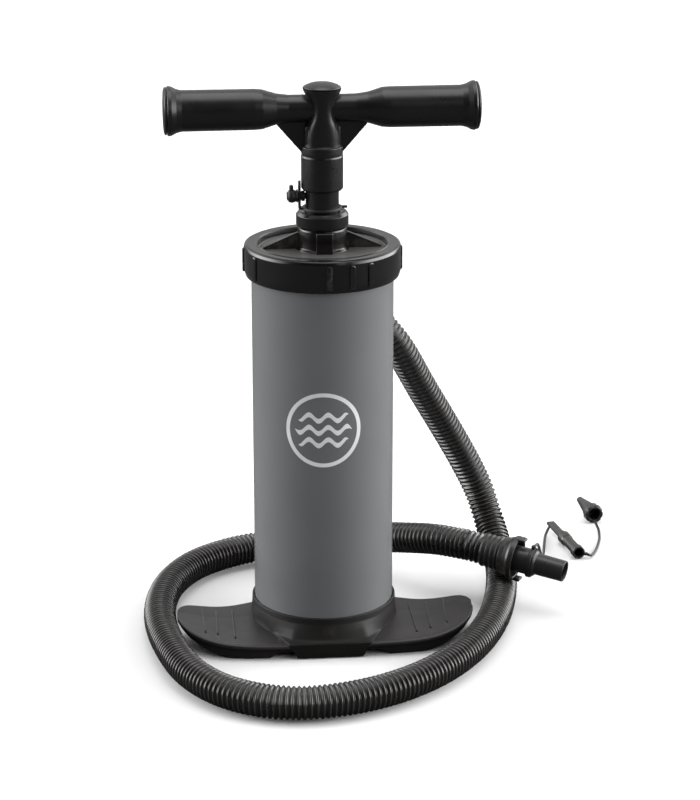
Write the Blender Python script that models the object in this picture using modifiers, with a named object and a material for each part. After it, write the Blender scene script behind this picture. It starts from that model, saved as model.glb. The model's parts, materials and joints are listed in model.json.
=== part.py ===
"""Double-action hand air pump with a foot base, a T handle and a corrugated hose.

Units are metres and +Z is up. The floor is z = 0, the cylinder's axis is x = y = 0, the handle
and the two pedals lie along X, and the front of the pump faces -Y. The pump is modelled at rest,
with the handle pushed right down.
"""

import math

import bmesh
import bpy
from mathutils import Matrix, Vector

MM = 0.001
GAP = 0.3 * MM  # clearance left between pieces that touch
ROUND = 28  # facets of a large turned piece
MEDIUM_ROUND = 20  # facets of a middling one
CUFF_ROUND = 16  # facets of the hose cuffs
SMALL_ROUND = 12  # facets of a small one
HOLE_ROUND = 8  # facets of a small hole

# Cylinders
CYLINDER_R = 58 * MM
CYLINDER_WALL = 2 * MM
BORE_R = 50 * MM
BORE_WALL = 2 * MM
CYLINDER_Z0 = 10.1 * MM
CYLINDER_TOP = 322 * MM
BORE_TOP = 321 * MM
FLANGE_R = 60.4 * MM
FLANGE_Z = 316 * MM
VALVE_PORT_R = 2.5 * MM
LOWER_PORT_Z = 24.5 * MM
UPPER_PORT_Z = 311 * MM

# Base
BASE_FLOOR_Z = 9.8 * MM
BASE_UNDERSIDE_Z = 6 * MM
BASE_RIM_Z = 32.5 * MM
SCREW_CIRCLE_R = 45 * MM

# Cap ring, top cover and gland
RING_Z0 = 311 * MM
RING_TOP = 338 * MM
RING_R = 63.9 * MM
RING_RIB_ANGLES = (0, 17, 32, 88, 117)  # degrees from the front, repeated half a turn on
COVER_Z0 = 327.8 * MM
COVER_TOP = 333.2 * MM
NECK_R = 20 * MM
NECK_TOP = 351 * MM
GLAND_TOP = 364.2 * MM

# Piston and shaft
PISTON_Z0 = 30 * MM
PISTON_Z1 = 62 * MM
SHAFT_R = 13.5 * MM
SHAFT_BORE_R = 10.8 * MM
SHAFT_Z0 = 38.3 * MM
SHAFT_TOP = 409.5 * MM
VENT_Z = 376.5 * MM  # hole in the shaft that the action plug closes
VENT_R = 3 * MM

# Handle
COLLAR_R = 17 * MM
COLLAR_Z0 = 381.6 * MM
COLLAR_TOP = 419 * MM
HANDLE_Z = 447.9 * MM
HANDLE_HALF = 127 * MM
GRIP_R = 16.4 * MM
HANDLE_SCREW_Z = 402 * MM
WEB_HALF = 2.7 * MM  # half the thickness of the web between the crossbar and the collar

# Outlet elbow, behind the cylinder
PORT_Z = 280 * MM
PORT_R = 15 * MM
ELBOW_R = 11 * MM
ELBOW_BORE_R = 8.5 * MM
ELBOW_BEND_Y = 72 * MM
ELBOW_BEND_R = 20 * MM
ELBOW_AIM = Vector((0.82, 0, -0.57)).normalized()

# Hose and what is on it
HOSE_R = 14 * MM
HOSE_STEP = 34 * MM  # spacing of the points along the hose's tube
CUFF_LENGTH = 32 * MM
CUFF_START = 36 * MM  # from the elbow's bend to the hose's first end
NOZZLE_AIM = Vector((0.87, -0.48, -0.12)).normalized()
NOZZLE_RIM = Vector((170, 26, 45.2)) * MM
NOZZLE_LENGTH = 75.5 * MM  # from the hose's far end to the nozzle's mouth
TETHER_R = 1.2 * MM
TETHER_STEP = 10 * MM

# The hose's route between its two ends, its floor run one radius above the floor
HOSE_ROUTE = [
    Vector(point) * MM
    for point in (
        (74.5, 94.3, 216),
        (97, 110, 174),
        (117, 122, 138),
        (135, 129.5, 105),
        (150, 131, 74),
        (158.5, 122, 47.8),
        (163.3, 101, 28.4),
        (163.2, 73, 18.6),
        (159, 42, 14.5),
        (152, 8, 14.3),
        (143, -24, 14.3),
        (131, -55, 14.3),
        (115, -86, 14.3),
        (93, -117, 14.3),
        (66, -144, 14.3),
        (34, -165.5, 14.3),
        (0, -178.5, 14.3),
        (-34, -182.5, 14.3),
        (-67, -173, 14.3),
        (-96, -150, 14.3),
        (-118, -114, 14.3),
        (-131, -68, 14.3),
        (-138, -18, 14.3),
        (-137, 29, 14.3),
        (-127, 74, 14.3),
        (-107, 112, 14.3),
        (-79, 138, 14.3),
        (-46, 152, 15.4),
        (-11, 151, 20),
        (23, 138, 27),
        (53, 115, 35),
        (80, 90, 43.2),
        (105, 66, 49.8),
    )
]

# Adapters on the floor: the middle of the open mouth, and the way the body points from it
LONG_ADAPTER_MOUTH = Vector((244, 130.5, 6.2)) * MM
LONG_ADAPTER_AIM = Vector((-0.16, 0.987, 0)).normalized()
CONE_ADAPTER_MOUTH = Vector((274.9, 218, 9.2)) * MM
CONE_ADAPTER_AIM = Vector((-0.156, 0.988, 0)).normalized()
TETHER_ONE = [
    Vector(point) * MM
    for point in (
        (184, 21, 57.7),
        (187, 28, 56.8),
        (191, 44, 49.5),
        (196.5, 66, 36),
        (202.5, 92, 20.5),
        (208.5, 118, 9),
        (213.5, 142, 3),
        (218, 165, 1.5),
        (222.5, 186, 1.6),
        (226.4, 196.5, 3.6),
        (229, 200.2, 6),
    )
]
TETHER_TWO = [
    Vector(point) * MM
    for point in (
        (252.3, 130.2, 4.5),
        (256.5, 135.5, 1.8),
        (261.5, 145, 1.5),
        (267, 160, 1.5),
        (272, 178, 1.5),
        (275, 197, 1.5),
        (275.4, 208, 1.8),
        (274.8, 215.4, 3.2),
    )
]

COLOURS = {
    "black_plastic": ((0.020, 0.018, 0.018), 0.38, 0.0),
    "foot_plastic": ((0.060, 0.055, 0.055), 0.55, 0.0),
    "grey_shell": ((0.130, 0.135, 0.140), 0.35, 0.0),
    "inner_plastic": ((0.55, 0.56, 0.55), 0.45, 0.0),
    "rubber": ((0.030, 0.030, 0.030), 0.80, 0.0),
    "hose_plastic": ((0.045, 0.042, 0.040), 0.50, 0.0),
    "steel": ((0.55, 0.56, 0.58), 0.30, 1.0),
}


# ---------------------------------------------------------------- helpers


def clear_scene():
    for obj in list(bpy.data.objects):
        bpy.data.objects.remove(obj, do_unlink=True)


def new_collection(name):
    collection = bpy.data.collections.new(name)
    bpy.context.scene.collection.children.link(collection)
    return collection


def make_looks():
    looks = {}
    for name, (colour, roughness, metallic) in COLOURS.items():
        look = bpy.data.materials.new(name)
        look.use_nodes = True
        shader = look.node_tree.nodes["Principled BSDF"]
        shader.inputs["Base Color"].default_value = (*colour, 1)
        shader.inputs["Roughness"].default_value = roughness
        shader.inputs["Metallic"].default_value = metallic
        looks[name] = look
    return looks


def add(name, data, look, parent=None):
    """Links a new object: a part when it has a look, and a hidden helper when it has none."""
    obj = bpy.data.objects.new(name, data)
    obj.parent = parent
    if look is None:
        CUTTERS.objects.link(obj)
        obj.hide_render = True
        obj.display_type = "WIRE"
    else:
        PARTS.objects.link(obj)
        data.materials.append(LOOKS[look])
    return obj


def pivot(name, location=(0, 0, 0), aim=None, parent=None):
    """An empty on a joint's axis. aim turns its Z axis that way."""
    empty = bpy.data.objects.new(name, None)
    empty.empty_display_size = 20 * MM
    empty.location = location
    if aim is not None:
        empty.rotation_euler = aim.to_track_quat("Z", "X").to_euler()
    empty.parent = parent
    PARTS.objects.link(empty)
    return empty


def turned(name, profile, look=None, parent=None, steps=ROUND):
    """A solid of revolution about its own Z. profile lists (radius, height) down the outer side."""
    hollow = profile[0][0] > 0
    mesh = bpy.data.meshes.new(name)
    points = [(radius, 0, height) for radius, height in profile]
    edges = [(index, index + 1) for index in range(len(points) - 1)]
    if hollow:
        edges.append((len(points) - 1, 0))
    mesh.from_pydata(points, edges, [])
    obj = add(name, mesh, look, parent)
    screw = obj.modifiers.new("Turn", "SCREW")
    screw.steps = steps
    screw.render_steps = steps
    screw.use_merge_vertices = True
    screw.merge_threshold = 0.000001
    screw.use_smooth_shade = False
    return obj


def ring(name, inner, outer, z0, z1, look=None, parent=None, steps=ROUND):
    profile = [(outer, z1), (outer, z0), (inner, z0), (inner, z1)]
    return turned(name, profile, look, parent, steps)


def mesh_from(name, build):
    mesh = bpy.data.meshes.new(name)
    shape = bmesh.new()
    build(shape)
    bmesh.ops.recalc_face_normals(shape, faces=shape.faces)
    shape.to_mesh(mesh)
    shape.free()
    return mesh


def rod(name, radius, start, end, look=None, parent=None, steps=14, end_radius=None):
    """A straight cylinder or cone from start to end."""
    start, end = Vector(start), Vector(end)
    far_radius = radius if end_radius is None else end_radius

    def build(shape):
        bmesh.ops.create_cone(
            shape,
            cap_ends=True,
            segments=steps,
            radius1=radius,
            radius2=far_radius,
            depth=(end - start).length,
        )

    obj = add(name, mesh_from(name, build), look, parent)
    obj.location = (start + end) / 2
    obj.rotation_euler = (end - start).to_track_quat("Z", "X").to_euler()
    return obj


def block(name, size, centre, look=None, parent=None, turn=0.0):
    def build(shape):
        bmesh.ops.create_cube(shape, size=1, matrix=Matrix.Diagonal((*size, 1)))

    obj = add(name, mesh_from(name, build), look, parent)
    obj.location = centre
    obj.rotation_euler = (0, 0, turn)
    return obj


def loft(name, sections, look=None, parent=None):
    """A closed solid through sections, which are loops of the same number of points."""

    def build(shape):
        loops = [[shape.verts.new(point) for point in section] for section in sections]
        count = len(sections[0])
        for near, far in zip(loops, loops[1:]):
            for index in range(count):
                after = (index + 1) % count
                shape.faces.new((near[index], near[after], far[after], far[index]))
        shape.faces.new(loops[0])
        shape.faces.new(loops[-1])

    return add(name, mesh_from(name, build), look, parent)


def smooth_line(points, spacing):
    """Evenly spaced points on a Catmull-Rom curve through points."""
    line = []
    ends = [2 * points[0] - points[1], *points, 2 * points[-1] - points[-2]]
    for before, start, end, after in zip(ends, ends[1:], ends[2:], ends[3:]):
        for step in range(40):
            t = step / 40
            line.append(
                0.5
                * (
                    2 * start
                    + (end - before) * t
                    + (2 * before - 5 * start + 4 * end - after) * t**2
                    + (3 * start - before - 3 * end + after) * t**3
                )
            )
    line.append(points[-1].copy())
    total = sum((b - a).length for a, b in zip(line, line[1:]))
    count = max(2, round(total / spacing))
    even, travelled, wanted = [line[0]], 0.0, total / count
    for a, b in zip(line, line[1:]):
        length = (b - a).length
        while wanted <= travelled + length and len(even) < count:
            even.append(a.lerp(b, (wanted - travelled) / length))
            wanted += total / count
        travelled += length
    even.append(line[-1])
    return even


def tube(name, points, radius, look=None, resolution=2):
    """A round tube along points, as a curve with filled caps."""
    curve = bpy.data.curves.new(name, "CURVE")
    curve.dimensions = "3D"
    curve.bevel_depth = radius
    curve.bevel_resolution = resolution
    curve.use_fill_caps = True
    spline = curve.splines.new("POLY")
    spline.points.add(len(points) - 1)
    for place, point in zip(spline.points, points):
        place.co = (*point, 1)
    return add(name, curve, look)


def solid_tube(name, points, radius, look=None, resolution=3, parent=None):
    """The same tube as a mesh, so that it can be cut or joined."""
    curve = tube(name + "_line", points, radius, None, resolution)
    bpy.context.view_layer.update()
    graph = bpy.context.evaluated_depsgraph_get()
    mesh = bpy.data.meshes.new_from_object(curve.evaluated_get(graph))
    shape = bmesh.new()
    shape.from_mesh(mesh)
    bmesh.ops.remove_doubles(shape, verts=shape.verts, dist=0.00001)
    bmesh.ops.recalc_face_normals(shape, faces=shape.faces)
    shape.to_mesh(mesh)
    shape.free()
    obj = add(name, mesh, look, parent)
    obj.matrix_world = curve.matrix_world
    bpy.data.objects.remove(curve)
    return obj


def combine(obj, other, operation):
    modifier = obj.modifiers.new(other.name, "BOOLEAN")
    modifier.operation = operation
    modifier.object = other
    return obj


def cut(obj, *cutters):
    for cutter in cutters:
        combine(obj, cutter, "DIFFERENCE")
    return obj


def join(obj, *helpers):
    for helper in helpers:
        combine(obj, helper, "UNION")
    return obj


def around(radius, degrees, height=0.0):
    """A point at an angle from the front, counted towards +X."""
    angle = math.radians(degrees)
    return Vector((radius * math.sin(angle), -radius * math.cos(angle), height))


def radial_holes(name, radius, degrees, distance, z0, z1):
    """Vertical round cutters on a circle."""
    holes = []
    for number, angle in enumerate(degrees):
        foot = around(distance, angle, z0)
        top = around(distance, angle, z1)
        holes.append(rod(f"{name}_{number}", radius, foot, top, steps=HOLE_ROUND))
    return holes


def side_ports(name, height, inner, outer):
    """Round cutters through a cylinder's wall, evenly spaced."""
    ports = []
    for number in range(6):
        angle = 60 * number + 30
        ports.append(
            rod(
                f"{name}_{number}",
                VALVE_PORT_R,
                around(inner, angle, height),
                around(outer, angle, height),
                steps=HOLE_ROUND,
            )
        )
    return ports


# ---------------------------------------------------------------- base

# x, front edge y, lip z, skirt foot z, rear edge y, rear edge z, of the right pedal, in mm
PEDAL_STATIONS = [
    (14, -66.4, 12.5, 0, 20, 22),
    (34, -67, 12.5, 0, 19, 21.5),
    (52, -67, 12.8, 0, 17, 20.5),
    (66, -66.4, 13.2, 0, 12, 20),
    (80, -64.4, 13.9, 0, 6.4, 20.4),
    (93, -60.6, 15.2, 2.5, 3.8, 21.4),
    (105, -54, 17.2, 7, 2.8, 23),
    (115, -44.6, 19.6, 11.5, 1.4, 24.6),
    (121.5, -34, 21.8, 16, -3, 25),
    (124.5, -24, 23.2, 18.6, -9, 24.6),
]
PEDAL_WALL = 3 * MM
SKIRT_INSET = 5 * MM  # the skirt stands back under the lip
REAR_WALL_DROP = 9 * MM


def pedal_section(side, station, wall=0.0):
    """The loop of one section of a pedal, or of the hollow under it when wall is given."""
    x, front, lip, skirt, rear, back = (value * MM for value in station)
    depth = rear - front
    sag = 1.6 * MM
    middle = lip + 0.35 * (back - lip) - sag
    hind = lip + 0.72 * (back - lip) - sag
    if wall:
        low = -4 * MM
        loop = [
            (front + SKIRT_INSET + wall, low),
            (front + SKIRT_INSET + wall, lip - 5 * MM),
            (front + 0.35 * depth, middle - wall),
            (front + 0.72 * depth, hind - wall),
            (rear - wall, back - 2 * MM - wall),
            (rear - wall, low),
        ]
    else:
        loop = [
            (front + SKIRT_INSET, skirt),
            (front + SKIRT_INSET, lip - 5.4 * MM),
            (front, lip - 3.4 * MM),
            (front + 0.5 * MM, lip - 0.8 * MM),
            (front + 2.6 * MM, lip),
            (front + 0.35 * depth, middle),
            (front + 0.72 * depth, hind),
            (rear - 1.6 * MM, back),
            (rear, back - 1.6 * MM),
            (rear, back - REAR_WALL_DROP),
        ]
    return [Vector((side * x, y, z)) for y, z in loop]


def pedal(side, label):
    return loft(f"pedal_{label}", [pedal_section(side, row) for row in PEDAL_STATIONS])


def pedal_hollow(side, label):
    rows = PEDAL_STATIONS[3:9]
    return loft(f"hollow_{label}", [pedal_section(side, row, PEDAL_WALL) for row in rows])


def make_base():
    top = BASE_RIM_Z
    outline = [
        (0, top),
        (59.6 * MM, top),
        (60.2 * MM, top - 0.8 * MM),
        (60.4 * MM, 26 * MM),
        (61.3 * MM, 17 * MM),
        (63 * MM, 9 * MM),
        (65 * MM, 1 * MM),
        (0, 1 * MM),
    ]
    base = turned("base", outline, "foot_plastic")
    join(base, pedal(1, "right"), pedal(-1, "left"))
    for number, x in enumerate((-20, 4, 27)):
        foot = Vector((x, -61.6, 0)) * MM
        top_end = Vector((x, -61.6, 3)) * MM
        join(base, rod(f"nub_{number}", 2.2 * MM, foot, top_end, steps=SMALL_ROUND))
    socket = rod("socket", CYLINDER_R + GAP, (0, 0, BASE_FLOOR_Z), (0, 0, 60 * MM), steps=ROUND)
    recess = rod("recess", 60.6 * MM, (0, 0, -5 * MM), (0, 0, BASE_UNDERSIDE_Z), steps=ROUND)
    intake = rod("intake", 22 * MM, (0, 0, 0), (0, 0, 20 * MM), steps=MEDIUM_ROUND)
    cut(base, socket, recess, intake)
    for label, side in (("right", 1), ("left", -1)):
        arch = block(f"arch_{label}", (15 * MM, 40 * MM, 9 * MM), (side * 36 * MM, -62 * MM, 0))
        cut(base, pedal_hollow(side, label), arch)
    pilot = radial_holes("pilot", 1.7 * MM, (45, 135, 225, 315), SCREW_CIRCLE_R, 0, 8.6 * MM)
    return cut(base, *pilot)


def make_base_cover():
    outline = [
        (0, BASE_UNDERSIDE_Z - GAP),
        (9 * MM, BASE_UNDERSIDE_Z - GAP),
        (9 * MM, 2.4 * MM),
        (58 * MM, 2.4 * MM),
        (58 * MM, BASE_UNDERSIDE_Z - GAP),
        (60.2 * MM, BASE_UNDERSIDE_Z - GAP),
        (60.2 * MM, 0.8 * MM),
        (59.4 * MM, 0),
        (0, 0),
    ]
    cover = turned("base_cover", outline, "black_plastic", steps=MEDIUM_ROUND)
    for number in range(6):
        angle = 60 * number
        slot = block(
            f"slot_{number}",
            (3.2 * MM, 24 * MM, 10 * MM),
            around(27 * MM, angle),
            turn=math.radians(angle),
        )
        cut(cover, slot)
    angles = (45, 135, 225, 315)
    posts = radial_holes("post", 5.5 * MM, angles, SCREW_CIRCLE_R, 1.5 * MM, BASE_UNDERSIDE_Z - GAP)
    join(cover, *posts)
    cut(cover, *radial_holes("screw_way", 2.1 * MM, angles, SCREW_CIRCLE_R, -1 * MM, 8 * MM))
    return cut(cover, *radial_holes("screw_head_way", 4.1 * MM, angles, SCREW_CIRCLE_R, -1 * MM, 2.9 * MM))


def make_base_screws():
    outline = [
        (0, 8 * MM),
        (1.4 * MM, 8 * MM),
        (1.4 * MM, 2.6 * MM),
        (3.7 * MM, 2.6 * MM),
        (3.7 * MM, 1.2 * MM),
        (2.9 * MM, 0.6 * MM),
        (0, 0.6 * MM),
    ]
    for number in range(4):
        place = around(SCREW_CIRCLE_R, 45 + 90 * number)
        screw = turned(f"base_screw_{number + 1}", outline, "steel", steps=SMALL_ROUND)
        screw.location = place


# ---------------------------------------------------------------- cylinders and valves


def make_outer_cylinder():
    inner = CYLINDER_R - CYLINDER_WALL
    outline = [
        (FLANGE_R, CYLINDER_TOP),
        (FLANGE_R, FLANGE_Z),
        (CYLINDER_R, FLANGE_Z - 0.2 * MM),
        (CYLINDER_R, CYLINDER_Z0),
        (inner, CYLINDER_Z0),
        (inner, CYLINDER_TOP),
    ]
    shell = turned("outer_cylinder", outline, "grey_shell")
    boss = rod("port_boss", PORT_R, (0, 50 * MM, PORT_Z), (0, 68 * MM, PORT_Z), steps=MEDIUM_ROUND)
    room = rod("annulus_room", inner, (0, 0, 200 * MM), (0, 0, CYLINDER_TOP + 5 * MM), steps=ROUND)
    bore = rod(
        "port_bore",
        ELBOW_R + 0.4 * MM,
        (0, 45 * MM, PORT_Z),
        (0, 80 * MM, PORT_Z),
        steps=MEDIUM_ROUND,
    )
    seat = rod("port_seat", 13.6 * MM, (0, 65.5 * MM, PORT_Z), (0, 80 * MM, PORT_Z), steps=MEDIUM_ROUND)
    cut(join(shell, boss), room, bore, seat)
    for number in range(4):
        notch = block(
            f"bayonet_notch_{number}",
            (22 * MM, 6 * MM, 20 * MM),
            around(61.4 * MM, 45 + 90 * number, CYLINDER_TOP),
            turn=math.radians(45 + 90 * number),
        )
        cut(shell, notch)
    return shell


def make_inner_cylinder():
    cylinder = ring(
        "inner_cylinder", BORE_R, BORE_R + BORE_WALL, 18.8 * MM, BORE_TOP, "inner_plastic"
    )
    near = BORE_R - 6 * MM
    far = BORE_R + 8 * MM
    cut(cylinder, *side_ports("lower_port", LOWER_PORT_Z, near, far))
    return cut(cylinder, *side_ports("upper_port", UPPER_PORT_Z, near, far))


def make_lower_valve():
    outline = [
        (0, 15.2 * MM),
        (2.3 * MM, 15.2 * MM),
        (2.3 * MM, 21 * MM),
        (49.5 * MM, 21 * MM),
        (49.5 * MM, 17 * MM),
        (55.6 * MM, 17 * MM),
        (55.6 * MM, CYLINDER_Z0),
        (0, CYLINDER_Z0),
    ]
    seat = turned("valve_seat", outline, "inner_plastic", steps=MEDIUM_ROUND)
    cut(seat, *radial_holes("intake_way", 3 * MM, range(10, 370, 60), 9 * MM, 0, 30 * MM))
    ring("lower_gasket", 50.2 * MM, 51.8 * MM, 17.3 * MM, 18.5 * MM, "rubber", steps=MEDIUM_ROUND)
    ring("lower_outlet_band", 52.3 * MM, 53.6 * MM, 21 * MM, 30 * MM, "rubber")
    pin = [
        (0, 27.2 * MM),
        (4.4 * MM, 27.2 * MM),
        (5 * MM, 26.7 * MM),
        (5 * MM, 26.1 * MM),
        (2 * MM, 26.1 * MM),
        (2 * MM, 15.4 * MM),
        (0, 15.4 * MM),
    ]
    turned("valve_pin", pin, "steel", steps=SMALL_ROUND)
    axis = pivot("intake_axis")
    ring("intake_disc", 2.4 * MM, 15 * MM, 21.3 * MM, 23.3 * MM, "rubber", axis, MEDIUM_ROUND)


def make_head():
    ring("upper_outlet_band", 52.3 * MM, 53.6 * MM, 306.5 * MM, 315.5 * MM, "rubber")
    ring("upper_gasket", 56 * MM, 57.8 * MM, 322.3 * MM, 323.5 * MM, "rubber", steps=MEDIUM_ROUND)
    outline = [
        (57.8 * MM, 327.5 * MM),
        (57.8 * MM, 323.8 * MM),
        (49.6 * MM, 323.8 * MM),
        (49.6 * MM, 315 * MM),
        (14.4 * MM, 315 * MM),
        (14.4 * MM, 327.5 * MM),
    ]
    head = turned("head_plate", outline, "inner_plastic")
    cut(head, *radial_holes("head_way", 3.5 * MM, range(10, 370, 60), 32 * MM, 300 * MM, 340 * MM))
    ring("head_flap", 24 * MM, 40 * MM, 313.3 * MM, 314.7 * MM, "rubber", steps=MEDIUM_ROUND)


def make_top_cover():
    outline = [
        (NECK_R, NECK_TOP),
        (NECK_R, COVER_TOP),
        (FLANGE_R, COVER_TOP),
        (FLANGE_R, COVER_Z0),
        (16.8 * MM, COVER_Z0),
        (16.8 * MM, NECK_TOP),
    ]
    cover = turned("top_cover", outline, "black_plastic")
    for label, side in (("right", 1), ("left", -1)):
        triangle = [
            (18 * MM, 345 * MM),
            (21 * MM, 344.5 * MM),
            (47.5 * MM, 334 * MM),
            (47.5 * MM, 331 * MM),
            (18 * MM, 331 * MM),
        ]
        faces = [
            [Vector((side * x, y, z)) for x, z in triangle] for y in (-1.6 * MM, 1.6 * MM)
        ]
        join(cover, loft(f"gusset_{label}", faces))
    join(cover, block("tab", (14 * MM, 6 * MM, 18 * MM), (0, -20 * MM, 341 * MM)))
    cut(cover, *radial_holes("breather", 2.5 * MM, (150, 165, 195, 210), 32 * MM, 320 * MM, 340 * MM))
    return cover


def make_cap_ring():
    outline = [
        (61.4 * MM, RING_TOP),
        (63.3 * MM, RING_TOP - 0.7 * MM),
        (RING_R, RING_TOP - 2.4 * MM),
        (RING_R, 316 * MM),
        (62.3 * MM, RING_Z0),
        (60.9 * MM, RING_Z0),
        (60.9 * MM, COVER_TOP + GAP),
        (52.6 * MM, COVER_TOP + GAP),
        (52.6 * MM, RING_TOP),
    ]
    cap = turned("cap_ring", outline, "black_plastic", pivot("cap_ring_axis"))
    for number in range(4):
        lug = block(
            f"lug_{number}",
            (18 * MM, 3.2 * MM, 3.8 * MM),
            around(60 * MM, 90 * number, 313.5 * MM),
            turn=math.radians(90 * number),
        )
        join(cap, lug)
    angles = [angle + turn for turn in (0, 180) for angle in RING_RIB_ANGLES]
    for number, angle in enumerate(angles):
        rib = block(
            f"ring_rib_{number}",
            (2.4 * MM, 3 * MM, 21 * MM),
            around(63.9 * MM, angle, 325 * MM),
            turn=math.radians(angle),
        )
        join(cap, rib)
    return cap


def make_gland():
    ring(
        "shaft_bush",
        13.85 * MM,
        16.5 * MM,
        328.1 * MM,
        341.7 * MM,
        "inner_plastic",
        steps=MEDIUM_ROUND,
    )
    ring("shaft_seal", 13.85 * MM, 16.5 * MM, 342 * MM, 345 * MM, "rubber", steps=MEDIUM_ROUND)
    outline = [
        (19.6 * MM, GLAND_TOP),
        (21.3 * MM, GLAND_TOP - 1.6 * MM),
        (21.3 * MM, NECK_TOP + GAP),
        (16.5 * MM, NECK_TOP + GAP),
        (16.5 * MM, 345.3 * MM),
        (14.2 * MM, 345.3 * MM),
        (14.2 * MM, GLAND_TOP),
    ]
    return turned("gland_nut", outline, "black_plastic")


# ---------------------------------------------------------------- piston and shaft


def make_piston(carriage):
    outer = 49.2 * MM
    groove = 46 * MM
    outline = [
        (outer, PISTON_Z1),
        (outer, 58 * MM),
        (groove, 58 * MM),
        (groove, 54 * MM),
        (outer, 54 * MM),
        (outer, 38 * MM),
        (groove, 38 * MM),
        (groove, 34 * MM),
        (outer, 34 * MM),
        (outer, PISTON_Z0),
        (13 * MM, PISTON_Z0),
        (13 * MM, 35 * MM),
        (5.6 * MM, 35 * MM),
        (5.6 * MM, 38 * MM),
        (13.9 * MM, 38 * MM),
        (13.9 * MM, PISTON_Z1),
        (20 * MM, PISTON_Z1),
        (20 * MM, 42 * MM),
        (43 * MM, 42 * MM),
        (43 * MM, PISTON_Z1),
    ]
    turned("piston", outline, "inner_plastic", carriage, MEDIUM_ROUND)
    for label, z0 in (("lower", 34.3 * MM), ("upper", 54.3 * MM)):
        ring(
            f"piston_seal_{label}",
            46.3 * MM,
            49.55 * MM,
            z0,
            z0 + 3.4 * MM,
            "rubber",
            carriage,
            MEDIUM_ROUND,
        )
    ring("lower_buffer", 30 * MM, 40 * MM, 28 * MM, 29.7 * MM, "rubber", carriage, MEDIUM_ROUND)
    ring("upper_buffer", 14.2 * MM, 19.5 * MM, 62.3 * MM, 66 * MM, "rubber", carriage, MEDIUM_ROUND)


def make_shaft(swivel):
    shaft = ring("shaft", SHAFT_BORE_R, SHAFT_R, SHAFT_Z0, SHAFT_TOP, "black_plastic", swivel)
    chamber_hole = rod(
        "chamber_hole", VENT_R, (0, 0, 74 * MM), (-20 * MM, 0, 74 * MM), None, swivel, 16
    )
    plug_hole = rod("plug_hole", VENT_R, (0, 0, VENT_Z), (-20 * MM, 0, VENT_Z), None, swivel, SMALL_ROUND)
    cut(shaft, chamber_hole, plug_hole, handle_screw_way(swivel, "shaft"))
    ring("shaft_plug", 5.5 * MM, 10.5 * MM, 38.6 * MM, 58 * MM, "inner_plastic", swivel, SMALL_ROUND)
    ring("thrust_washer", 5.6 * MM, 12.4 * MM, 33.8 * MM, 34.7 * MM, "steel", swivel, SMALL_ROUND)
    bolt = [
        (0, 60 * MM),
        (5.1 * MM, 60 * MM),
        (5.1 * MM, 33.5 * MM),
        (11.5 * MM, 33.5 * MM),
        (11.5 * MM, 31.4 * MM),
        (10.5 * MM, 30.5 * MM),
        (0, 30.5 * MM),
    ]
    turned("retaining_bolt", bolt, "steel", swivel, SMALL_ROUND)


def handle_screw_way(swivel, label):
    return rod(
        f"handle_screw_way_{label}",
        2.1 * MM,
        (0, 5 * MM, HANDLE_SCREW_Z),
        (0, 25 * MM, HANDLE_SCREW_Z),
        None,
        swivel,
        SMALL_ROUND,
    )


# ---------------------------------------------------------------- handle

# height, half width and half depth of the stem's sections, in mm
STEM_SECTIONS = [
    (417, 15, 15),
    (427, 14.6, 15),
    (435, 13, 15),
    (442, 10.3, 15),
    (448, 9.4, 15),
    (453, 10, 15.2),
    (459, 12.8, 15.6),
    (464.5, 15.6, 15.8),
]


def ellipse(half_x, half_y, z, steps=MEDIUM_ROUND):
    turns = [2 * math.pi * number / steps for number in range(steps)]
    return [Vector((half_x * math.cos(turn), half_y * math.sin(turn), z)) for turn in turns]


def make_handle(swivel):
    grip = [
        (0, HANDLE_HALF - 3.5 * MM),
        (19.6 * MM, HANDLE_HALF - 3.5 * MM),
        (20.2 * MM, HANDLE_HALF - 4.5 * MM),
        (19.6 * MM, HANDLE_HALF - 7 * MM),
        (GRIP_R, HANDLE_HALF - 12 * MM),
        (GRIP_R, 50 * MM),
        (13 * MM, 38 * MM),
        (11.4 * MM, 28 * MM),
        (11.2 * MM, 0),
    ]
    mirrored = [(radius, -height) for radius, height in reversed(grip[1:-1])]
    outline = [*grip, *mirrored, (0, -HANDLE_HALF + 3.5 * MM)]
    handle = turned("handle", outline, "black_plastic", swivel, 24)
    handle.location = (0, 0, HANDLE_Z)
    handle.rotation_euler = (0, math.radians(90), 0)
    stem = loft(
        "stem", [ellipse(x * MM, y * MM, z * MM) for z, x, y in STEM_SECTIONS], parent=swivel
    )
    collar = rod(
        "collar", COLLAR_R, (0, 0, COLLAR_Z0), (0, 0, COLLAR_TOP), None, swivel, steps=ROUND
    )
    web_outline = [
        (-37 * MM, 441 * MM),
        (37 * MM, 441 * MM),
        (36.5 * MM, 435 * MM),
        (15.6 * MM, 411 * MM),
        (-15.6 * MM, 411 * MM),
        (-36.5 * MM, 435 * MM),
    ]
    web_sides = [[Vector((x, y, z)) for x, z in web_outline] for y in (-WEB_HALF, WEB_HALF)]
    web = loft("web", web_sides, parent=swivel)
    join(handle, web, collar, stem)
    socket = rod(
        "shaft_socket",
        SHAFT_R + GAP,
        (0, 0, COLLAR_Z0 - 5 * MM),
        (0, 0, SHAFT_TOP + GAP),
        None,
        swivel,
        steps=ROUND,
    )
    cut(handle, socket, handle_screw_way(swivel, "collar"))
    for label, side in (("left", -1), ("right", 1)):
        core = rod(
            f"core_{label}",
            12.3 * MM,
            (side * 58 * MM, 0, HANDLE_Z),
            (side * 140 * MM, 0, HANDLE_Z),
            None,
            swivel,
            MEDIUM_ROUND,
        )
        cut(handle, core)
    dome_way = rod(
        "dome_way", 6.3 * MM, (0, 0, 458 * MM), (0, 0, 470 * MM), None, swivel, MEDIUM_ROUND
    )
    return cut(handle, dome_way)


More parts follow.
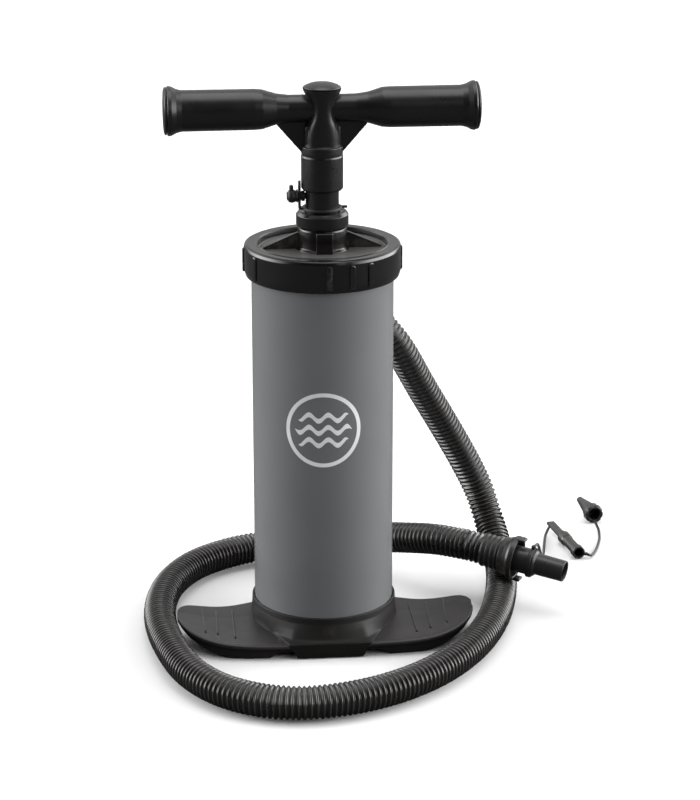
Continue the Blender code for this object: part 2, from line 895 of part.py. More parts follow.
def make_handle_trim(swivel):
    outline = [
        (0, 3.2 * MM),
        (15 * MM, 3.2 * MM),
        (18.4 * MM, 2.6 * MM),
        (19.4 * MM, 1.4 * MM),
        (19.4 * MM, 0),
        (12 * MM, 0),
        (12 * MM, -16 * MM),
        (9.5 * MM, -16 * MM),
        (9.5 * MM, 0),
        (0, 0),
    ]
    for label, side in (("left", -1), ("right", 1)):
        cap = turned(f"end_cap_{label}", outline, "black_plastic", swivel, MEDIUM_ROUND)
        cap.location = (side * (HANDLE_HALF - 3.2 * MM), 0, HANDLE_Z)
        cap.rotation_euler = (0, side * math.radians(90), 0)
    dome = [
        (0, 469 * MM),
        (6 * MM, 468.6 * MM),
        (11 * MM, 467.4 * MM),
        (14.6 * MM, 465.6 * MM),
        (15.4 * MM, 464.8 * MM),
        (6 * MM, 464.8 * MM),
        (6 * MM, 459 * MM),
        (0, 459 * MM),
    ]
    turned("dome_cap", dome, "black_plastic", swivel, MEDIUM_ROUND)
    screw = [
        (0, 0),
        (2 * MM, -0.2 * MM),
        (3.6 * MM, -1 * MM),
        (3.8 * MM, -2.2 * MM),
        (1.8 * MM, -2.2 * MM),
        (1.8 * MM, -10 * MM),
        (0, -10 * MM),
    ]
    head = turned("handle_screw", screw, "steel", swivel, SMALL_ROUND)
    head.location = (0, COLLAR_R + 2.5 * MM, HANDLE_SCREW_Z)
    head.rotation_euler = (math.radians(-90), 0, 0)


def make_plug(swivel):
    axis = pivot("plug_axis", (-SHAFT_R, 0, VENT_Z), Vector((-1, 0, 0)), swivel)
    outline = [
        (0, 15.2 * MM),
        (3 * MM, 15 * MM),
        (4.9 * MM, 13.7 * MM),
        (5.6 * MM, 11.4 * MM),
        (5.2 * MM, 8.9 * MM),
        (4.4 * MM, 8 * MM),
        (5.3 * MM, 7.2 * MM),
        (5.4 * MM, 6.3 * MM),
        (4.3 * MM, 6.2 * MM),
        (4.3 * MM, 0.6 * MM),
        (2.6 * MM, 0.5 * MM),
        (2.6 * MM, -4 * MM),
        (0, -4 * MM),
    ]
    knob = turned("action_plug", outline, "black_plastic", axis, SMALL_ROUND)
    grip = block(
        "plug_grip", (3.4 * MM, 5 * MM, 8 * MM), (-25 * MM, 0, VENT_Z + 5.2 * MM), parent=swivel
    )
    join(knob, grip)
    make_strap(swivel)


def make_strap(swivel):
    """The strap: a ring round the shaft, with an upright tongue that the plug passes through."""
    strap = ring(
        "plug_strap",
        SHAFT_R + 0.4 * MM,
        16.2 * MM,
        365.4 * MM,
        367.8 * MM,
        "rubber",
        swivel,
        MEDIUM_ROUND,
    )
    foot = block("strap_foot", (4.5 * MM, 7.2 * MM, 2 * MM), (-16.95 * MM, 0, 366.6 * MM), parent=swivel)
    tongue = block(
        "strap_tongue", (1.6 * MM, 7 * MM, 26.6 * MM), (-18.5 * MM, 0, 379.9 * MM), parent=swivel
    )
    eye = rod(
        "strap_eye",
        6.3 * MM,
        (-17.6 * MM, 0, VENT_Z),
        (-19.4 * MM, 0, VENT_Z),
        None,
        swivel,
        MEDIUM_ROUND,
    )
    tail = block("strap_tail", (6 * MM, 3 * MM, 2.2 * MM), (17.5 * MM, 1 * MM, 366.6 * MM), parent=swivel)
    eye_hole = rod(
        "eye_hole", 4.6 * MM, (-14 * MM, 0, VENT_Z), (-22 * MM, 0, VENT_Z), None, swivel
    )
    shaft_room = rod(
        "strap_room",
        SHAFT_R + 0.4 * MM,
        (0, 0, 360 * MM),
        (0, 0, 396 * MM),
        None,
        swivel,
        ROUND,
    )
    cut(join(strap, foot, tongue, eye, tail), eye_hole, shaft_room)


# ---------------------------------------------------------------- outlet and hose


def elbow_line(start_y, straight):
    """The elbow's centreline: out of the port, round the bend and on towards the hose."""
    corner = Vector((0, ELBOW_BEND_Y, PORT_Z))
    back = Vector((0, 1, 0))
    centre = corner + ELBOW_BEND_R * ELBOW_AIM
    line = [Vector((0, start_y, PORT_Z)), corner]
    for step in range(1, 7):
        turn = math.radians(90 * step / 6)
        line.append(centre + ELBOW_BEND_R * (math.sin(turn) * back - math.cos(turn) * ELBOW_AIM))
    line.append(line[-1] + straight * ELBOW_AIM)
    return line


def make_elbow():
    elbow = solid_tube("outlet_elbow", elbow_line(57 * MM, 24 * MM), ELBOW_R, "black_plastic", 3)
    collar = rod("elbow_collar", PORT_R, (0, 68.3 * MM, PORT_Z), (0, 71 * MM, PORT_Z), steps=MEDIUM_ROUND)
    way = solid_tube("elbow_way", elbow_line(50 * MM, 30 * MM), ELBOW_BORE_R, None, 3)
    cut(join(elbow, collar), way)
    seal = ring("port_seal", ELBOW_R + GAP, 13.2 * MM, 0, 1.9 * MM, "rubber", steps=MEDIUM_ROUND)
    seal.location = (0, 65.9 * MM, PORT_Z)
    seal.rotation_euler = (math.radians(-90), 0, 0)


def make_cuff(name, place, aim):
    """A hose cuff: a sleeve that ends in a collar with two bayonet ears. Its Z runs off the hose."""
    axis = pivot(name + "_axis", place, aim)
    outline = [
        (19.3 * MM, CUFF_LENGTH),
        (19.3 * MM, 28.5 * MM),
        (18.2 * MM, 26.5 * MM),
        (16.6 * MM, 23 * MM),
        (16 * MM, 18 * MM),
        (15.6 * MM, 0.3 * MM),
        (11.5 * MM, 0.3 * MM),
        (11.5 * MM, 10 * MM),
        (15 * MM, 11 * MM),
        (15 * MM, 22 * MM),
        (16.6 * MM, 27 * MM),
        (16.6 * MM, CUFF_LENGTH),
    ]
    cuff = turned(name, outline, "hose_plastic", axis, CUFF_ROUND)
    for number, side in enumerate((-1, 1)):
        ear = block(
            f"{name}_ear_{number}",
            (2.6 * MM, 9 * MM, 8.6 * MM),
            (side * 18.3 * MM, 0, 33.2 * MM),
            parent=axis,
        )
        join(cuff, ear)
    return axis


def make_nozzle(axis):
    spin = pivot("nozzle_axis", parent=axis)
    outline = [
        (8.6 * MM, NOZZLE_LENGTH),
        (9.2 * MM, NOZZLE_LENGTH - 1 * MM),
        (9.4 * MM, 50.5 * MM),
        (11.4 * MM, 48 * MM),
        (11.4 * MM, 24 * MM),
        (14.6 * MM, 23.5 * MM),
        (14.6 * MM, 20.3 * MM),
        (7.2 * MM, 20.3 * MM),
        (7.2 * MM, NOZZLE_LENGTH),
    ]
    turned("nozzle", outline, "hose_plastic", spin, MEDIUM_ROUND)
    loop = ring(
        "tether_ring", 11.8 * MM, 13.2 * MM, 43 * MM, 47 * MM, "rubber", axis, MEDIUM_ROUND
    )
    eye = block("tether_eye", (3.4 * MM, 4 * MM, 3.6 * MM), (14.2 * MM, 0, 45 * MM), parent=axis)
    return join(loop, eye)


def hose_ends(cuff_place, nozzle_place):
    first = cuff_place + GAP * ELBOW_AIM
    last = nozzle_place - GAP * NOZZLE_AIM
    return (
        [first, first + 12 * MM * ELBOW_AIM],
        [last - 14 * MM * NOZZLE_AIM, last],
    )


def make_hose():
    bend_end = elbow_line(0, 0)[-1]
    pump_end = bend_end + CUFF_START * ELBOW_AIM
    make_cuff("hose_cuff_pump", pump_end, -ELBOW_AIM)
    far_end = NOZZLE_RIM - CUFF_LENGTH * NOZZLE_AIM
    make_nozzle(make_cuff("hose_cuff_nozzle", far_end, NOZZLE_AIM))
    start, finish = hose_ends(pump_end, far_end)
    route = smooth_line([start[1], *HOSE_ROUTE, finish[0]], HOSE_STEP)
    tube("hose", [start[0], *route, finish[1]], HOSE_R, "hose_plastic", 2)


# ---------------------------------------------------------------- adapters


def make_adapters():
    long_axis = pivot("long_adapter_axis", LONG_ADAPTER_MOUTH, LONG_ADAPTER_AIM)
    outline = [
        (0, 58 * MM),
        (3.2 * MM, 58 * MM),
        (4.6 * MM, 44 * MM),
        (5.9 * MM, 42 * MM),
        (5.9 * MM, 33 * MM),
        (5 * MM, 31 * MM),
        (5 * MM, 9 * MM),
        (5.9 * MM, 7.5 * MM),
        (5.9 * MM, 0),
        (0, 0),
    ]
    body = turned("long_adapter", outline, "black_plastic", long_axis, SMALL_ROUND)
    blade = block("blade", (7.6 * MM, 3 * MM, 34 * MM), (0, 0, 63 * MM), parent=long_axis)
    mouth = rod("long_mouth", 4 * MM, (0, 0, -2 * MM), (0, 0, 15 * MM), None, long_axis)
    cut(join(body, blade), mouth)
    cone_axis = pivot("cone_adapter_axis", CONE_ADAPTER_MOUTH, CONE_ADAPTER_AIM)
    outline = [
        (0, 43 * MM),
        (3 * MM, 43 * MM),
        (6.4 * MM, 16 * MM),
        (6.8 * MM, 10 * MM),
        (9 * MM, 8.5 * MM),
        (9 * MM, 0.8 * MM),
        (8.2 * MM, 0),
        (0, 0),
    ]
    cone = turned("cone_adapter", outline, "black_plastic", cone_axis, SMALL_ROUND)
    mouth = rod("cone_mouth", 5.4 * MM, (0, 0, -2 * MM), (0, 0, 14 * MM), None, cone_axis)
    way_end = (0, 0, 48 * MM)
    way = rod(
        "cone_way", 4 * MM, (0, 0, 10 * MM), way_end, None, cone_axis, SMALL_ROUND, 1.4 * MM
    )
    cut(cone, mouth, way)
    tube("tether_1", smooth_line(TETHER_ONE, TETHER_STEP), TETHER_R, "hose_plastic")
    tube("tether_2", smooth_line(TETHER_TWO, TETHER_STEP), TETHER_R, "hose_plastic")


# ---------------------------------------------------------------- assembly

clear_scene()
PARTS = new_collection("hand_air_pump")
CUTTERS = new_collection("cutters")
LOOKS = make_looks()

make_base()
make_base_cover()
make_base_screws()
make_outer_cylinder()
make_inner_cylinder()
make_lower_valve()
make_head()
make_top_cover()
make_cap_ring()
make_gland()

piston_carriage = pivot("stroke_axis")
handle_swivel = pivot("handle_axis", parent=piston_carriage)
make_piston(piston_carriage)
make_shaft(handle_swivel)
make_handle(handle_swivel)
make_handle_trim(handle_swivel)
make_plug(handle_swivel)

make_elbow()
make_hose()
make_adapters()
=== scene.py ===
import json
import math

import bmesh
import bpy
from mathutils import Matrix, Vector


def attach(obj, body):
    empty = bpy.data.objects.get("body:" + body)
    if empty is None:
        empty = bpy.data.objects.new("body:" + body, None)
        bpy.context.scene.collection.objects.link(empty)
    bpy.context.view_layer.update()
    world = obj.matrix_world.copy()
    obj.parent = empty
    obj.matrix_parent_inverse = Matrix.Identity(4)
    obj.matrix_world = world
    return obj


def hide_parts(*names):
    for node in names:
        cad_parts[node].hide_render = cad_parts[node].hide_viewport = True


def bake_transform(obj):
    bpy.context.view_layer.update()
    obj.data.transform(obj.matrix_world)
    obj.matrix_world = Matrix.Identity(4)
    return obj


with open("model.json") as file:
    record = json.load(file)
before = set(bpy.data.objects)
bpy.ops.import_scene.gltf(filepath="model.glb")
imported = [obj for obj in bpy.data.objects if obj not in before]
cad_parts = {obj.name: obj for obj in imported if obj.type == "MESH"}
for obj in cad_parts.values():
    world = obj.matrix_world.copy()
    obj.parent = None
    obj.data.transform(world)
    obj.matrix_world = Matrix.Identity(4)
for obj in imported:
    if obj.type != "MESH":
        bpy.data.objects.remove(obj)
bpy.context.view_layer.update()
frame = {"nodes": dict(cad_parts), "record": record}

MM = 0.001

# ---------------------------------------------------------------- sizes shared with the CAD, in mm

CYLINDER_R = 58
CYLINDER_TOP = 322
NECK_TOP = 351
GLAND_TOP = 364.2
SHAFT_R = 13.5
VENT_Z = 376.5
HANDLE_Z = 447.9
HANDLE_HALF = 127
COLLAR_R = 17
COLLAR_Z0 = 381.6
COLLAR_TOP = 419
PORT_Z = 280
ELBOW_BEND_Y = 72
ELBOW_BEND_R = 20
CUFF_LENGTH = 32
CUFF_START = 36
NOZZLE_LENGTH = 75.5
HOSE_R = 14
HOSE_PITCH = 4.35
ELBOW_AIM = Vector((0.82, 0, -0.57)).normalized()
NOZZLE_AIM = Vector((0.87, -0.48, -0.12)).normalized()
NOZZLE_RIM = Vector((170, 26, 45.2))
LONG_ADAPTER_MOUTH = Vector((244, 130.5, 6.2))
LONG_ADAPTER_AIM = Vector((-0.16, 0.987, 0)).normalized()
CONE_ADAPTER_MOUTH = Vector((274.9, 218, 9.2))
CONE_ADAPTER_AIM = Vector((-0.156, 0.988, 0)).normalized()
TETHER_R = 1.2
RING_RIB_ANGLES = (0, 17, 32, 88, 117)

HOSE_ROUTE = [
    (74.5, 94.3, 216), (97, 110, 174), (117, 122, 138), (135, 129.5, 105), (150, 131, 74),
    (158.5, 122, 47.8), (163.3, 101, 28.4), (163.2, 73, 18.6), (159, 42, 14.5), (152, 8, 14.3),
    (143, -24, 14.3), (131, -55, 14.3), (115, -86, 14.3), (93, -117, 14.3), (66, -144, 14.3),
    (34, -165.5, 14.3), (0, -178.5, 14.3), (-34, -182.5, 14.3), (-67, -173, 14.3),
    (-96, -150, 14.3), (-118, -114, 14.3), (-131, -68, 14.3), (-138, -18, 14.3),
    (-137, 29, 14.3), (-127, 74, 14.3), (-107, 112, 14.3), (-79, 138, 14.3), (-46, 152, 15.4),
    (-11, 151, 20), (23, 138, 27), (53, 115, 35), (80, 90, 43.2), (105, 66, 49.8),
]
TETHER_ONE = [
    (184, 21, 57.7), (187, 28, 56.8), (191, 44, 49.5), (196.5, 66, 36), (202.5, 92, 20.5),
    (208.5, 118, 9), (213.5, 142, 3), (218, 165, 1.5), (222.5, 186, 1.6), (226.4, 196.5, 3.6),
    (229, 200.2, 6),
]
TETHER_TWO = [
    (252.3, 130.2, 4.5), (256.5, 135.5, 1.8), (261.5, 145, 1.5), (267, 160, 1.5),
    (272, 178, 1.5), (275, 197, 1.5), (275.4, 208, 1.8), (274.8, 215.4, 3.2),
]

# ---------------------------------------------------------------- materials


def node(tree, kind, place=(0, 0), **settings):
    made = tree.nodes.new(kind)
    made.location = place
    for name, value in settings.items():
        setattr(made, name, value)
    return made


def noise(tree, source, scale, detail=3.0):
    """Noise over the object's own coordinates, in metres."""
    texture = node(tree, "ShaderNodeTexNoise")
    texture.inputs["Scale"].default_value = scale
    texture.inputs["Detail"].default_value = detail
    tree.links.new(source, texture.inputs["Vector"])
    return texture.outputs["Fac"]


def spread(tree, value, low, high, from_low=0.3, from_high=0.7):
    ranged = node(tree, "ShaderNodeMapRange")
    tree.links.new(value, ranged.inputs["Value"])
    ranged.inputs["From Min"].default_value = from_low
    ranged.inputs["From Max"].default_value = from_high
    ranged.inputs["To Min"].default_value = low
    ranged.inputs["To Max"].default_value = high
    return ranged.outputs["Result"]


def blend_colours(tree, factor, first, second):
    mix = node(tree, "ShaderNodeMix", data_type="RGBA")
    tree.links.new(factor, mix.inputs["Factor"])
    for socket, colour in ((mix.inputs[6], first), (mix.inputs[7], second)):
        if isinstance(colour, tuple):
            socket.default_value = (*colour, 1)
        else:
            tree.links.new(colour, socket)
    return mix.outputs[2]


def moulded(
    name,
    colour,
    roughness,
    edge_colour=(0.16, 0.15, 0.15),
    vary=0.06,
    grain=700,
    grain_depth=0.02,
    edge=0.35,
    cavity=0.0,
    metallic=0.0,
    cloud=0.18,
    specular=0.5,
    scuff=0.25,
):
    """A moulded surface: fine grain, cloudy colour and gloss, paler edges that are partly wear and
    partly a painted highlight, and a painted shade in the hollows.

    vary is how far the roughness wanders, grain its scale and grain_depth its height in mm. edge
    is how far an edge turns to edge_colour, as wear and as a painted highlight, and scuff the least
    share of that between scuffs. cavity is how far a hollow is painted darker, a painted shade, and
    cloud how far the colour wanders.
    """
    look = bpy.data.materials.new(name)
    look.use_nodes = True
    tree = look.node_tree
    shader = tree.nodes["Principled BSDF"]
    shader.inputs["Metallic"].default_value = metallic
    shader.inputs["Specular IOR Level"].default_value = specular
    source = node(tree, "ShaderNodeTexCoord").outputs["Object"]
    dark = tuple(channel * (1 - cloud) for channel in colour)
    light = tuple(min(1, channel * (1 + cloud)) for channel in colour)
    base = blend_colours(tree, spread(tree, noise(tree, source, 22, 5), 0, 1), dark, light)
    point = node(tree, "ShaderNodeNewGeometry").outputs["Pointiness"]
    if edge:
        # Paler edges by pointiness: partly edge wear, partly a painted highlight on rounded edges.
        scuffs = noise(tree, source, 160, 6)
        edge_wear_and_highlight = node(tree, "ShaderNodeMath", operation="MULTIPLY")
        tree.links.new(spread(tree, point, 0, edge, 0.53, 0.62), edge_wear_and_highlight.inputs[0])
        tree.links.new(spread(tree, scuffs, scuff, 1, 0.4, 0.6), edge_wear_and_highlight.inputs[1])
        base = blend_colours(tree, edge_wear_and_highlight.outputs[0], base, edge_colour)
    # Darker hollows by pointiness: a painted shade.
    if cavity:
        shade = tuple(channel * 0.25 for channel in colour)
        base = blend_colours(tree, spread(tree, point, cavity, 0, 0.40, 0.49), base, shade)
    tree.links.new(base, shader.inputs["Base Color"])
    patches = noise(tree, source, 48, 4)
    tree.links.new(
        spread(tree, patches, roughness - vary, roughness + vary), shader.inputs["Roughness"]
    )
    bump = node(tree, "ShaderNodeBump")
    bump.inputs["Strength"].default_value = 1.0
    bump.inputs["Distance"].default_value = grain_depth * MM
    tree.links.new(noise(tree, source, grain, 2), bump.inputs["Height"])
    tree.links.new(bump.outputs["Normal"], shader.inputs["Normal"])
    return look


# Edge colours for the paler edges: partly wear, partly a painted highlight.
DARK_EDGE = (0.10, 0.095, 0.09)
BLACK_EDGE = (0.13, 0.123, 0.118)
BLACK = (0.0060, 0.0052, 0.0050)
RECIPES = {
    "black_plastic": dict(
        colour=BLACK, roughness=0.19, vary=0.04, grain=900, grain_depth=0.006,
        edge=0.35, edge_colour=BLACK_EDGE,
    ),
    # The cover plate: the black plastic painted lighter, a painted reflection.
    "cover_plastic": dict(
        colour=(0.085, 0.080, 0.078), roughness=0.42, edge=0.4, edge_colour=(0.15, 0.143, 0.137)
    ),
    "handle_plastic": dict(
        colour=BLACK, roughness=0.30, vary=0.05, grain=800, grain_depth=0.022,
        edge=0.25, edge_colour=DARK_EDGE,
    ),
    "foot_plastic": dict(
        colour=(0.026, 0.0235, 0.023), roughness=0.40, grain=650, grain_depth=0.04,
        edge_colour=(0.16, 0.145, 0.14),
    ),
    # The ring is the pedals' moulding painted darker: painted shade.
    "ring_plastic": dict(
        colour=(0.0105, 0.0095, 0.0091), roughness=0.52, edge=0.12, edge_colour=DARK_EDGE,
        specular=0.28,
    ),
    "grey_shell": dict(
        colour=(0.178, 0.184, 0.189), roughness=0.22, vary=0.012, grain=400, grain_depth=0.002,
        edge=0.15, edge_colour=(0.42, 0.43, 0.44), cloud=0.025,
    ),
    "inner_plastic": dict(
        colour=(0.52, 0.53, 0.52), roughness=0.42, edge=0.1, edge_colour=(0.7, 0.7, 0.7)
    ),
    "rubber": dict(
        colour=(0.012, 0.011, 0.011), roughness=0.45, grain=1500, edge=0.15,
        edge_colour=(0.08, 0.08, 0.08),
    ),
    # The hose's paler crests are a painted highlight and its darker hollows a painted shade.
    "hose_plastic": dict(
        colour=(0.010, 0.0090, 0.0084), roughness=0.24, grain=1300, grain_depth=0.006,
        edge=0.6, edge_colour=(0.118, 0.108, 0.102), cavity=0.95, specular=0.6, scuff=0.75,
    ),
    "fitting_plastic": dict(
        colour=(0.024, 0.0220, 0.0213), roughness=0.32, grain=900, edge=0.4,
        edge_colour=(0.18, 0.17, 0.163),
    ),
    "steel": dict(
        colour=(0.56, 0.56, 0.58), roughness=0.30, metallic=1.0, grain_depth=0.01,
        edge=0.3, edge_colour=(0.75, 0.75, 0.76),
    ),
    "white_print": dict(
        colour=(0.93, 0.94, 0.94), roughness=0.40, edge=0, grain=800, grain_depth=0.006
    ),
}
LOOKS = {name: moulded(name, **recipe) for name, recipe in RECIPES.items()}

# ---------------------------------------------------------------- mesh helpers (all lengths in mm)


def rounded(points, closed=False, steps=5):
    """Points (a, b) or (a, b, radius), with an arc at each one that has a radius."""
    made = []
    count = len(points)
    for index, point in enumerate(points):
        here = Vector(point[:2])
        end = not closed and index in (0, count - 1)
        if len(point) < 3 or end:
            made.append(here)
            continue
        before = Vector(points[index - 1][:2]) - here
        after = Vector(points[(index + 1) % count][:2]) - here
        angle = before.angle(after)
        reach = point[2] / max(0.05, math.tan(angle / 2))
        reach = min(reach, 0.48 * before.length, 0.48 * after.length)
        start = here + before.normalized() * reach
        finish = here + after.normalized() * reach
        for step in range(steps + 1):
            t = step / steps
            made.append((1 - t) ** 2 * start + 2 * t * (1 - t) * here + t**2 * finish)
    return made


def smooth_line(points, spacing):
    """Evenly spaced points on a Catmull-Rom curve through points."""
    points = [Vector(point) for point in points]
    line = []
    ends = [2 * points[0] - points[1], *points, 2 * points[-1] - points[-2]]
    for before, start, end, after in zip(ends, ends[1:], ends[2:], ends[3:]):
        for step in range(40):
            t = step / 40
            line.append(
                0.5
                * (
                    2 * start
                    + (end - before) * t
                    + (2 * before - 5 * start + 4 * end - after) * t**2
                    + (3 * start - before - 3 * end + after) * t**3
                )
            )
    line.append(points[-1].copy())
    total = sum((b - a).length for a, b in zip(line, line[1:]))
    count = max(2, round(total / spacing))
    even, travelled, wanted = [line[0]], 0.0, total / count
    for a, b in zip(line, line[1:]):
        length = (b - a).length
        while wanted <= travelled + length and len(even) < count:
            even.append(a.lerp(b, (wanted - travelled) / length))
            wanted += total / count
        travelled += length
    even.append(line[-1])
    return even


def moved(place):
    return Matrix.Translation(place)


def turned(degrees):
    """A turn about Z."""
    return Matrix.Rotation(math.radians(degrees), 4, "Z")


def facing(place, aim):
    """A matrix that puts the origin at place and turns Z to aim, as the CAD's pivots do."""
    return moved(place) @ Vector(aim).to_track_quat("Z", "X").to_matrix().to_4x4()


def around(radius, degrees, height=0.0):
    """A point at an angle from the front, counted towards +X."""
    angle = math.radians(degrees)
    return Vector((radius * math.sin(angle), -radius * math.cos(angle), height))


def inset_flats(mesh, width, sides=True):
    """Rings each flat face of a block with a narrow border, which keeps the paler edges, wear and
    painted highlight, off the flat.
    """
    mesh.normal_update()
    flats = []
    for face in mesh.faces:
        squareness = [abs(part) for part in face.normal]
        if (max(squareness) if sides else squareness[1]) > 0.9999:
            flats.append(face)
    bmesh.ops.inset_individual(mesh, faces=flats, thickness=width)


ON_AXIS = 1e-6


class Shape:
    """Closed shells gathered into one mesh, in millimetres in the row frame."""

    def __init__(self):
        self.mesh = bmesh.new()

    def rows(self, rows, matrix=None, ring=False, caps=True):
        """Skins rows of points, each a closed loop. A row of one point is a tip."""
        matrix = matrix or Matrix()
        made = [[self.mesh.verts.new(matrix @ Vector(p)) for p in row] for row in rows]
        pairs = list(zip(made, made[1:]))
        if ring:
            pairs.append((made[-1], made[0]))
        for near, far in pairs:
            count = max(len(near), len(far))
            for index in range(count):
                after = (index + 1) % count
                corners = [near[index % len(near)], near[after % len(near)]]
                corners += [far[after % len(far)], far[index % len(far)]]
                kept = list(dict.fromkeys(corners))
                if len(kept) > 2:
                    self.mesh.faces.new(kept)
        if caps and not ring:
            for row in (made[0], made[-1]):
                if len(row) > 2:
                    self.mesh.faces.new(row)
        return self

    def turn(self, profile, matrix=None, steps=96):
        """Turns (radius, height) or (radius, height, corner) round Z: a ring if it starts off Z."""
        hollow = profile[0][0] > ON_AXIS
        rows = []
        for radius, height in rounded(profile, closed=hollow):
            if radius < ON_AXIS:
                rows.append([(0, 0, height)])
                continue
            row = []
            for step in range(steps):
                angle = 2 * math.pi * step / steps
                row.append((radius * math.cos(angle), radius * math.sin(angle), height))
            rows.append(row)
        return self.rows(rows, matrix, ring=hollow)

    def tube(self, line, radii, sides=20, matrix=None):
        """A tube along a line, its frames carried along without twist."""
        line = [Vector(point) for point in line]
        side = None
        rows = []
        for index, here in enumerate(line):
            before = line[max(0, index - 1)]
            after = line[min(len(line) - 1, index + 1)]
            aim = (after - before).normalized()
            if side is None:
                side = aim.orthogonal().normalized()
            side = (side - side.dot(aim) * aim).normalized()
            other = aim.cross(side)
            radius = radii if isinstance(radii, (int, float)) else radii[index]
            row = []
            for step in range(sides):
                angle = 2 * math.pi * step / sides
                row.append(here + radius * (math.cos(angle) * side + math.sin(angle) * other))
            rows.append(row)
        return self.rows(rows, matrix)

    def slab(self, size, matrix=None, bevel=0.4, segments=3):
        """A block with rounded edges."""
        made = bmesh.new()
        bmesh.ops.create_cube(made, size=1, matrix=Matrix.Diagonal((*size, 1)))
        if bevel:
            bmesh.ops.bevel(
                made,
                geom=made.edges,
                offset=bevel,
                segments=segments,
                profile=0.5,
                affect="EDGES",
            )
            inset_flats(made, min(0.35, 0.25 * (min(size) - 2 * bevel)))
        return self.take(made, matrix)

    def prism(self, outline, depth, matrix=None, bevel=0.4):
        """An outline in XZ given a thickness along Y."""
        made = bmesh.new()
        near = [made.verts.new((x, -depth / 2, z)) for x, z in outline]
        far = [made.verts.new((x, depth / 2, z)) for x, z in outline]
        made.faces.new(near)
        made.faces.new(list(reversed(far)))
        for index in range(len(outline)):
            after = (index + 1) % len(outline)
            made.faces.new((near[after], near[index], far[index], far[after]))
        bmesh.ops.recalc_face_normals(made, faces=made.faces)
        if bevel:
            bmesh.ops.bevel(
                made, geom=made.edges, offset=bevel, segments=2, profile=0.5, affect="EDGES"
            )
            inset_flats(made, 0.3, sides=False)
        return self.take(made, matrix)

    def take(self, other, matrix=None):
        """Adds another bmesh's faces and frees it."""
        matrix = matrix or Matrix()
        places = {vertex: self.mesh.verts.new(matrix @ vertex.co) for vertex in other.verts}
        for face in other.faces:
            self.mesh.faces.new([places[vertex] for vertex in face.verts])
        other.free()
        return self

    def absorb(self, obj):
        """Adds the mesh of an object, which is in metres, and deletes the object."""
        other = bmesh.new()
        other.from_mesh(obj.data)
        bmesh.ops.scale(other, vec=(1000, 1000, 1000), verts=other.verts)
        bpy.data.objects.remove(obj)
        return self.take(other)

    def to_object(self, name, angle=32):
        bmesh.ops.recalc_face_normals(self.mesh, faces=self.mesh.faces)
        bmesh.ops.scale(self.mesh, vec=(MM, MM, MM), verts=self.mesh.verts)
        data = bpy.data.meshes.new(name)
        self.mesh.to_mesh(data)
        self.mesh.free()
        data.shade_smooth()
        data.set_sharp_from_angle(angle=math.radians(angle))
        obj = bpy.data.objects.new(name, data)
        bpy.context.scene.collection.objects.link(obj)
        return obj

    def finish(self, name, look, body, *replaced, angle=32):
        return settle(self.to_object(name, angle), look, body, *replaced)


def settle(obj, look, body, *replaced):
    """Gives a piece its material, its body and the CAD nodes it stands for."""
    obj.data.materials.clear()
    obj.data.materials.append(LOOKS[look])
    if body:
        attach(obj, body)
    if replaced:
        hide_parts(*replaced)
    return obj


def carve(obj, *shapes, angle=32):
    """Cuts shapes out of an object and keeps the result as its mesh."""
    cutters = []
    for number, shape in enumerate(shapes):
        cutter = shape.to_object(f"cutter_{number}")
        modifier = obj.modifiers.new("Cut", "BOOLEAN")
        modifier.operation = "DIFFERENCE"
        modifier.solver = "EXACT"
        modifier.object = cutter
        cutters.append(cutter)
    bpy.context.view_layer.update()
    graph = bpy.context.evaluated_depsgraph_get()
    data = bpy.data.meshes.new_from_object(obj.evaluated_get(graph))
    obj.modifiers.clear()
    obj.data = data
    for cutter in cutters:
        bpy.data.objects.remove(cutter)
    data.shade_smooth()
    data.set_sharp_from_angle(angle=math.radians(angle))
    return obj


# ---------------------------------------------------------------- camera, light and floor


CAMERA_TURN = -5
CAMERA_PLACE = (0, -2.0418, 0.8747)
CAMERA_PITCH = 0.3179
CAMERA_YAW = 0.01097
CAMERA_LENS = 117


def make_camera():
    """The camera stands in a frame turned 5 degrees from the object's, as its handle shows."""
    pitch, yaw = CAMERA_PITCH, CAMERA_YAW
    turn = Matrix.Rotation(math.radians(CAMERA_TURN), 3, "Z")
    aim = Vector(
        (math.sin(yaw) * math.cos(pitch), math.cos(yaw) * math.cos(pitch), -math.sin(pitch))
    )
    data = bpy.data.cameras.new("camera")
    data.lens = CAMERA_LENS
    data.sensor_width = 36
    camera = bpy.data.objects.new("camera", data)
    camera.location = turn @ Vector(CAMERA_PLACE)
    camera.rotation_euler = (turn @ aim).to_track_quat("-Z", "Y").to_euler()
    bpy.context.scene.collection.objects.link(camera)
    bpy.context.scene.camera = camera


def softbox(name, place, target, size, power):
    data = bpy.data.lights.new(name, "AREA")
    data.shape = "RECTANGLE"
    data.size, data.size_y = size
    data.energy = power
    light = bpy.data.objects.new(name, data)
    light.location = place
    light.rotation_euler = (Vector(target) - Vector(place)).to_track_quat("-Z", "Y").to_euler()
    bpy.context.scene.collection.objects.link(light)


TENT_STRENGTH = 9.0
TENT_SIDE, TENT_BACK, TENT_TOP, TENT_FRONT = 1.0, 0.07, 0.10, 0.005
TOWARDS_CAMERA = (-0.165, -0.986, 0)


def grey(tone):
    return (tone, tone, tone)


